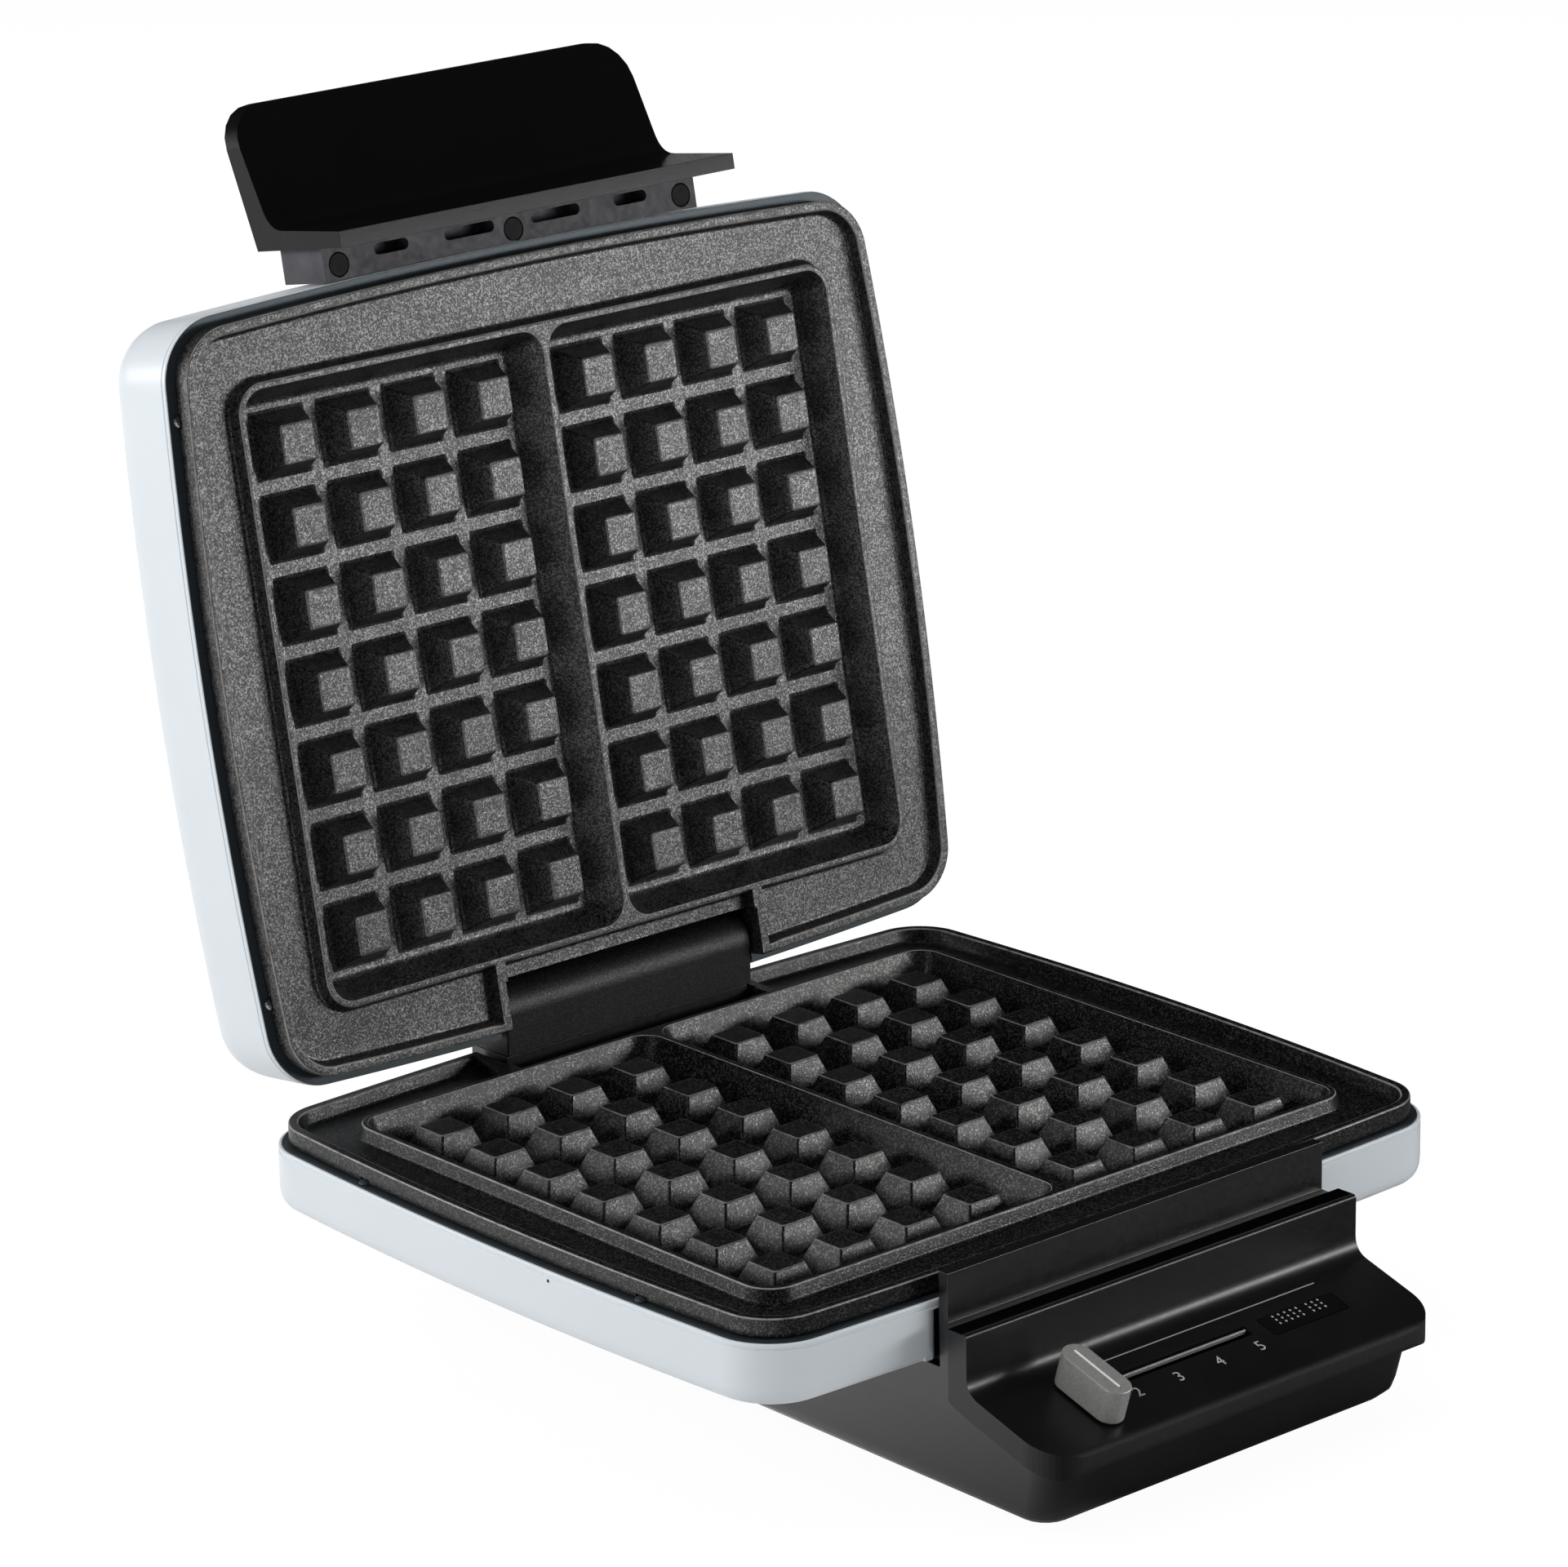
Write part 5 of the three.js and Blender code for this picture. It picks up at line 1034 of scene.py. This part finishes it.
def coated(name, ground, flakes, rarity, matt, rub):
    """A dark coating full of bright flakes, each in its own cell of a fine pattern and fewer
    with rarity, rubbed through to a light tone where the piece is marked as worn. matt is
    added to its roughness."""
    coating = Moulded(name)
    worn = coating.node("ShaderNodeAttribute", {"attribute_name": "worn"}, output="Fac")
    cells = {"Vector": coating.place, "Scale": 1 / flake_size}
    flake = coating.node("ShaderNodeTexVoronoi", {}, cells, "Color")
    glitter = (flake * coating.grain(0.012, 3).spread(0.2, 0.8, 0.85, 1.1)).spread(rarity, 0.8)
    rubbed = (worn * coating.grain(0.004, 3).spread(0.2, 0.6, 0.5, 1)).spread(0.25, 0.85, 0, rub)
    sandy = coating.grain(0.0006, 3)
    coating.surface(
        Base_Color=rubbed.over(glitter.over(srgb(ground), srgb(flakes)), srgb(worn_tone)),
        Roughness=sandy.spread(*noise_reach, 0.32 + matt, 0.44 + matt) - 0.05 * rubbed,
        Metallic=(0.97 * glitter * (1 - 0.6 * rubbed)).spread(0, 1),
        Normal=coating.relief(sandy, 0.00008),
    )
    return coating


def ridge_outline(offset, halved=False):
    """The ridge's rounded rectangle, larger by offset. Its right half alone has the same
    points, closed by the middle line."""
    x, y, radius = ridge_x + offset, ridge_y + offset, ridge_radius + offset
    if halved:
        return rounded_outline(0, x, -y, y, (radius, 0, 0, radius), side_steps // 2, side_steps, corner_cuts)
    return plate_outline(x, y, radius)


def cavity_outline(offset):
    """The right cavity's rounded rectangle, drawn in by offset, and more so at the divider."""
    return rounded_outline(
        cavity_inner + offset * inner_slide_share, cavity_outer - offset,
        -cavity_end + offset, cavity_end - offset,
        cavity_radius - offset * radius_slide_share, side_steps // 2, side_steps, corner_cuts,
    )


def peg_outline(half):
    """A square with softened corners, of the given half width."""
    return rounded_outline(-half, half, -half, half, peg_corner, corner_steps=2)


def peg_rings():
    """One peg: its outline at each height of its profile, from its root in the floor over a
    small fillet and its slope to the flat top. Gives the rings and how worn each is."""
    skirt = peg_base + peg_skirt
    profile, worn = softened(
        [
            (skirt, -peg_height - peg_root), (skirt, -peg_height - peg_dip),
            (peg_base, -peg_height + peg_start), (peg_top, 0), (peg_top - peg_flat, 0),
        ],
        [0, peg_bend, peg_edge], steps=3,
    )
    worn[profile[:, 1] < -peg_height / 2] = 0
    return stacked(profile, peg_outline), worn


def edge_worn(corners, radii, steps=4):
    """A softened polyline, and how worn it is: most round its corners, and not at all below
    the peg tops."""
    profile, worn = softened(corners, radii, steps)
    worn[profile[:, 1] < 0] = 0
    return profile, worn


def casting(name, placed, hinge_side, catch_spread):
    """The plate's skin in one piece, from the tub below, round the rim, over land and ridge
    and down into both cavities, with every peg standing in the floor. Gives the skin, the
    pegs, the two ribs at the hinge, and what is cut away for the hinge and the catches."""
    rim, rim_worn = edge_worn(
        [(0, rim_start), (0, rim_rise), (-rim_width, rim_rise), (-rim_foot, land), (-land_reach, land)],
        [rim_edge, rim_edge, rim_bend],
    )
    under_rim = [
        (-rim_width, tub_top), (-rim_width, rim_under), (-rim_chamfer, rim_under),
        (0, rim_under + rim_chamfer),
    ]
    ridge, ridge_worn = edge_worn(
        [(ridge_skirt, land), (ridge_foot, land), (0, ridge_rise), (-ridge_half_top, ridge_rise)],
        [ridge_bend, ridge_edge],
    )
    pocket, pocket_worn = edge_worn(
        [
            *[(reach, ridge_rise) for reach in cavity_lip],
            (cavity_slope, -peg_height), (floor_reach, -peg_height),
        ],
        [cavity_edge, floor_bend], steps=5,
    )
    tub = [at_heights(plate_outline(x, y, radius), [z]) for x, y, radius, z in tub_levels]
    body_rings = np.concatenate([
        *tub, stacked([*under_rim, *rim], barrel), stacked(ridge, ridge_outline),
    ])
    body_worn = np.concatenate([np.zeros(len(tub) + len(under_rim)), rim_worn, ridge_worn])
    half_rings = np.concatenate([
        at_heights(ridge_outline(-ridge_half_top, True), [ridge_rise]), stacked(pocket, cavity_outline),
    ])
    half_worn = np.concatenate([np.zeros(1), pocket_worn])
    shell = piece(
        name,
        lofted(placed(body_rings), True, False),
        lofted(placed(half_rings), False, True, True),
        lofted(placed(half_rings * (-1, 1, 1)), False, True, True),
        marks=("worn", np.concatenate([
            np.repeat(body_worn, body_rings.shape[1]),
            np.tile(np.append(np.repeat(half_worn, half_rings.shape[1]), 0), 2),
        ])),
    )

    peg, peg_worn = peg_rings()
    columns = first_column + peg_pitch * np.arange(peg_columns)
    rows = row_pitch * (np.arange(peg_rows) - (peg_rows - 1) / 2)
    centres = np.stack(np.meshgrid(np.concatenate([-columns, columns]), rows), axis=-1).reshape(-1, 2)
    pegs = piece(
        f"{name}_pegs",
        *[lofted(placed(peg + (x, y, 0))) for x, y in centres],
        marks=("worn", np.tile(np.repeat(peg_worn * peg_wear_share, peg.shape[1]), len(centres))),
    )

    rib_reach = sorted((hinge_side * rib_start, hinge_side * rib_end))
    ribs = [
        piece("rib", lofted(placed(boxed(
            *sorted((side * rib_inner, side * rib_outer)), *rib_reach, rib_low, rib_high,
        ))))
        for side in (-1, 1)
    ]
    swell = side_bulge * (1 - (catch_spread / plate_half_y) ** 2)
    dent = turned([(dent_radius, dent_low), (dent_radius, land)], sides=24)
    dent_x = plate_half_x + swell - dent_inset
    dents = [
        piece("dent", lofted(placed(dent + (side * dent_x, end * catch_spread, 0))))
        for side in (-1, 1) for end in (-1, 1)
    ]
    return shell, pegs, ribs, [hinge_notch(placed, hinge_side, *plate_notch), *dents]


lid_coating = coated("lid_coating", "0a0a0b", "757574", 0.42, 0, 0.65)
# The lower plate's coating is a shaded copy of the lid's: its darker ground and fewer, duller flakes are
# painted shade.
oiled_coating = coated("oiled_coating", "060607", "646462", 0.58, 0, 0.75)
for plate_name, plate_body, placed, hinge_side, catch_spread, coating in (
    ("lower_plate", "base", on_base, 1, 60.0, oiled_coating),
    ("upper_plate", "lid", in_lid, -1, 84.0, lid_coating),
):
    shell, pegs, ribs, cuts = casting(f"{plate_name}_casting", placed, hinge_side, catch_spread)
    finished(shell, plate_body, coating, [plate_name], join=ribs, cut=cuts)
    finished(pegs, plate_body, coating, [plate_name])
# The lower catches are the same part as the lid's, in the dark blued strip where the lid's are bare steel:
# painted shade.
for number in range(1, 5):
    dress(blued_strip, f"lower_catch_{number}")
    dress(bare_steel, f"upper_catch_{number}")


# Hinge
# A coated barrel-topped cover over a folded steel bracket. The lid's two arms turn on
# headed pins at the cover's ends.
barrel_radius, cover_wall = 8.9, 2.3
cover_half_width, room_half_width = 47.4, 45.1
cover_under, room_under = 2.7, -6.0
cover_coating = coated("cover_coating", "08080a", "4a4a50", 0.56, 0.1, 0)


def cover_outline(radius, under):
    """A half circle over two straight sides, as y and z."""
    turn = np.linspace(0, np.pi, 33)
    arc = np.stack([hinge_y + radius * np.cos(turn), hinge_z + radius * np.sin(turn)], axis=-1)
    return np.concatenate([[(hinge_y + radius, under)], arc, [(hinge_y - radius, under)]])


cover_rings = crossed(cover_outline(barrel_radius, cover_under), cover_half_width)
room_rings = crossed(cover_outline(barrel_radius - cover_wall, room_under), room_half_width)
finished(
    piece("hinge_barrel", lofted(on_base(cover_rings))),
    "base", cover_coating, ["hinge_cover"], edge=0.0005, edge_angle=40.0,
    cut=[piece("cover_room", lofted(on_base(room_rings)))],
)
dress(bare_steel, "hinge_bracket", "hinge_pin_left", "hinge_pin_right", "lid_arm_left", "lid_arm_right")


# Lid shell
# The same deep-drawn tray as the pan, deeper and with a larger rounded edge, enamelled
# pale, and open at the back for the hinge.
lid_under, lid_inside, lid_edge, lid_draft = -36.1, -33.7, 9.0, 1.5
lid_notch_low, lid_notch_high = -27.1, 4.0
lid_rings = stacked(tray_profile(lid_under, lid_inside, lid_edge, lid_draft), barrel)
finished(
    piece("drawn_lid", lofted(in_lid(lid_rings))),
    "lid", pale_enamel, ["upper_shell"], edge=0.0003, edge_angle=50.0,
    cut=[hinge_notch(in_lid, -1, lid_notch_low, lid_notch_high)],
)


# Handle
# A grey moulded bracket on the lid's free edge with vents and plugged screw holes, and in
# front of it the black moulded grip: a ledge that bends up into a broad leaning blade.
dark_grip = clouded(
    "dark_grip", tones=("090909", "0c0c0c", 0.02), gloss=(0.2, 0.27, 0.0015, 3),
    bumps=(0.0005, 0.000015), shine=0.42,
)
soft_plug = clouded(
    "soft_plug", tones=("1a1a1b", "242425", 0.003), gloss=(0.6, 0.75, 0.001),
    bumps=(0.0005, 0.00002), shine=0.4,
)
finished(
    copied("vented_bracket", "handle_bracket"), "lid", grey_moulding,
    ["handle_bracket"], edge=0.0004,
)
for side in ("left", "middle", "right"):
    finished(
        copied(f"plug_{side}", f"handle_plug_{side}"), "lid", soft_plug,
        [f"handle_plug_{side}"], edge=0.0003,
    )
finished(
    copied("leaning_grip", "handle_grip"), "lid", dark_grip, ["handle_grip"],
    edge=0.0008, edge_steps=3,
)
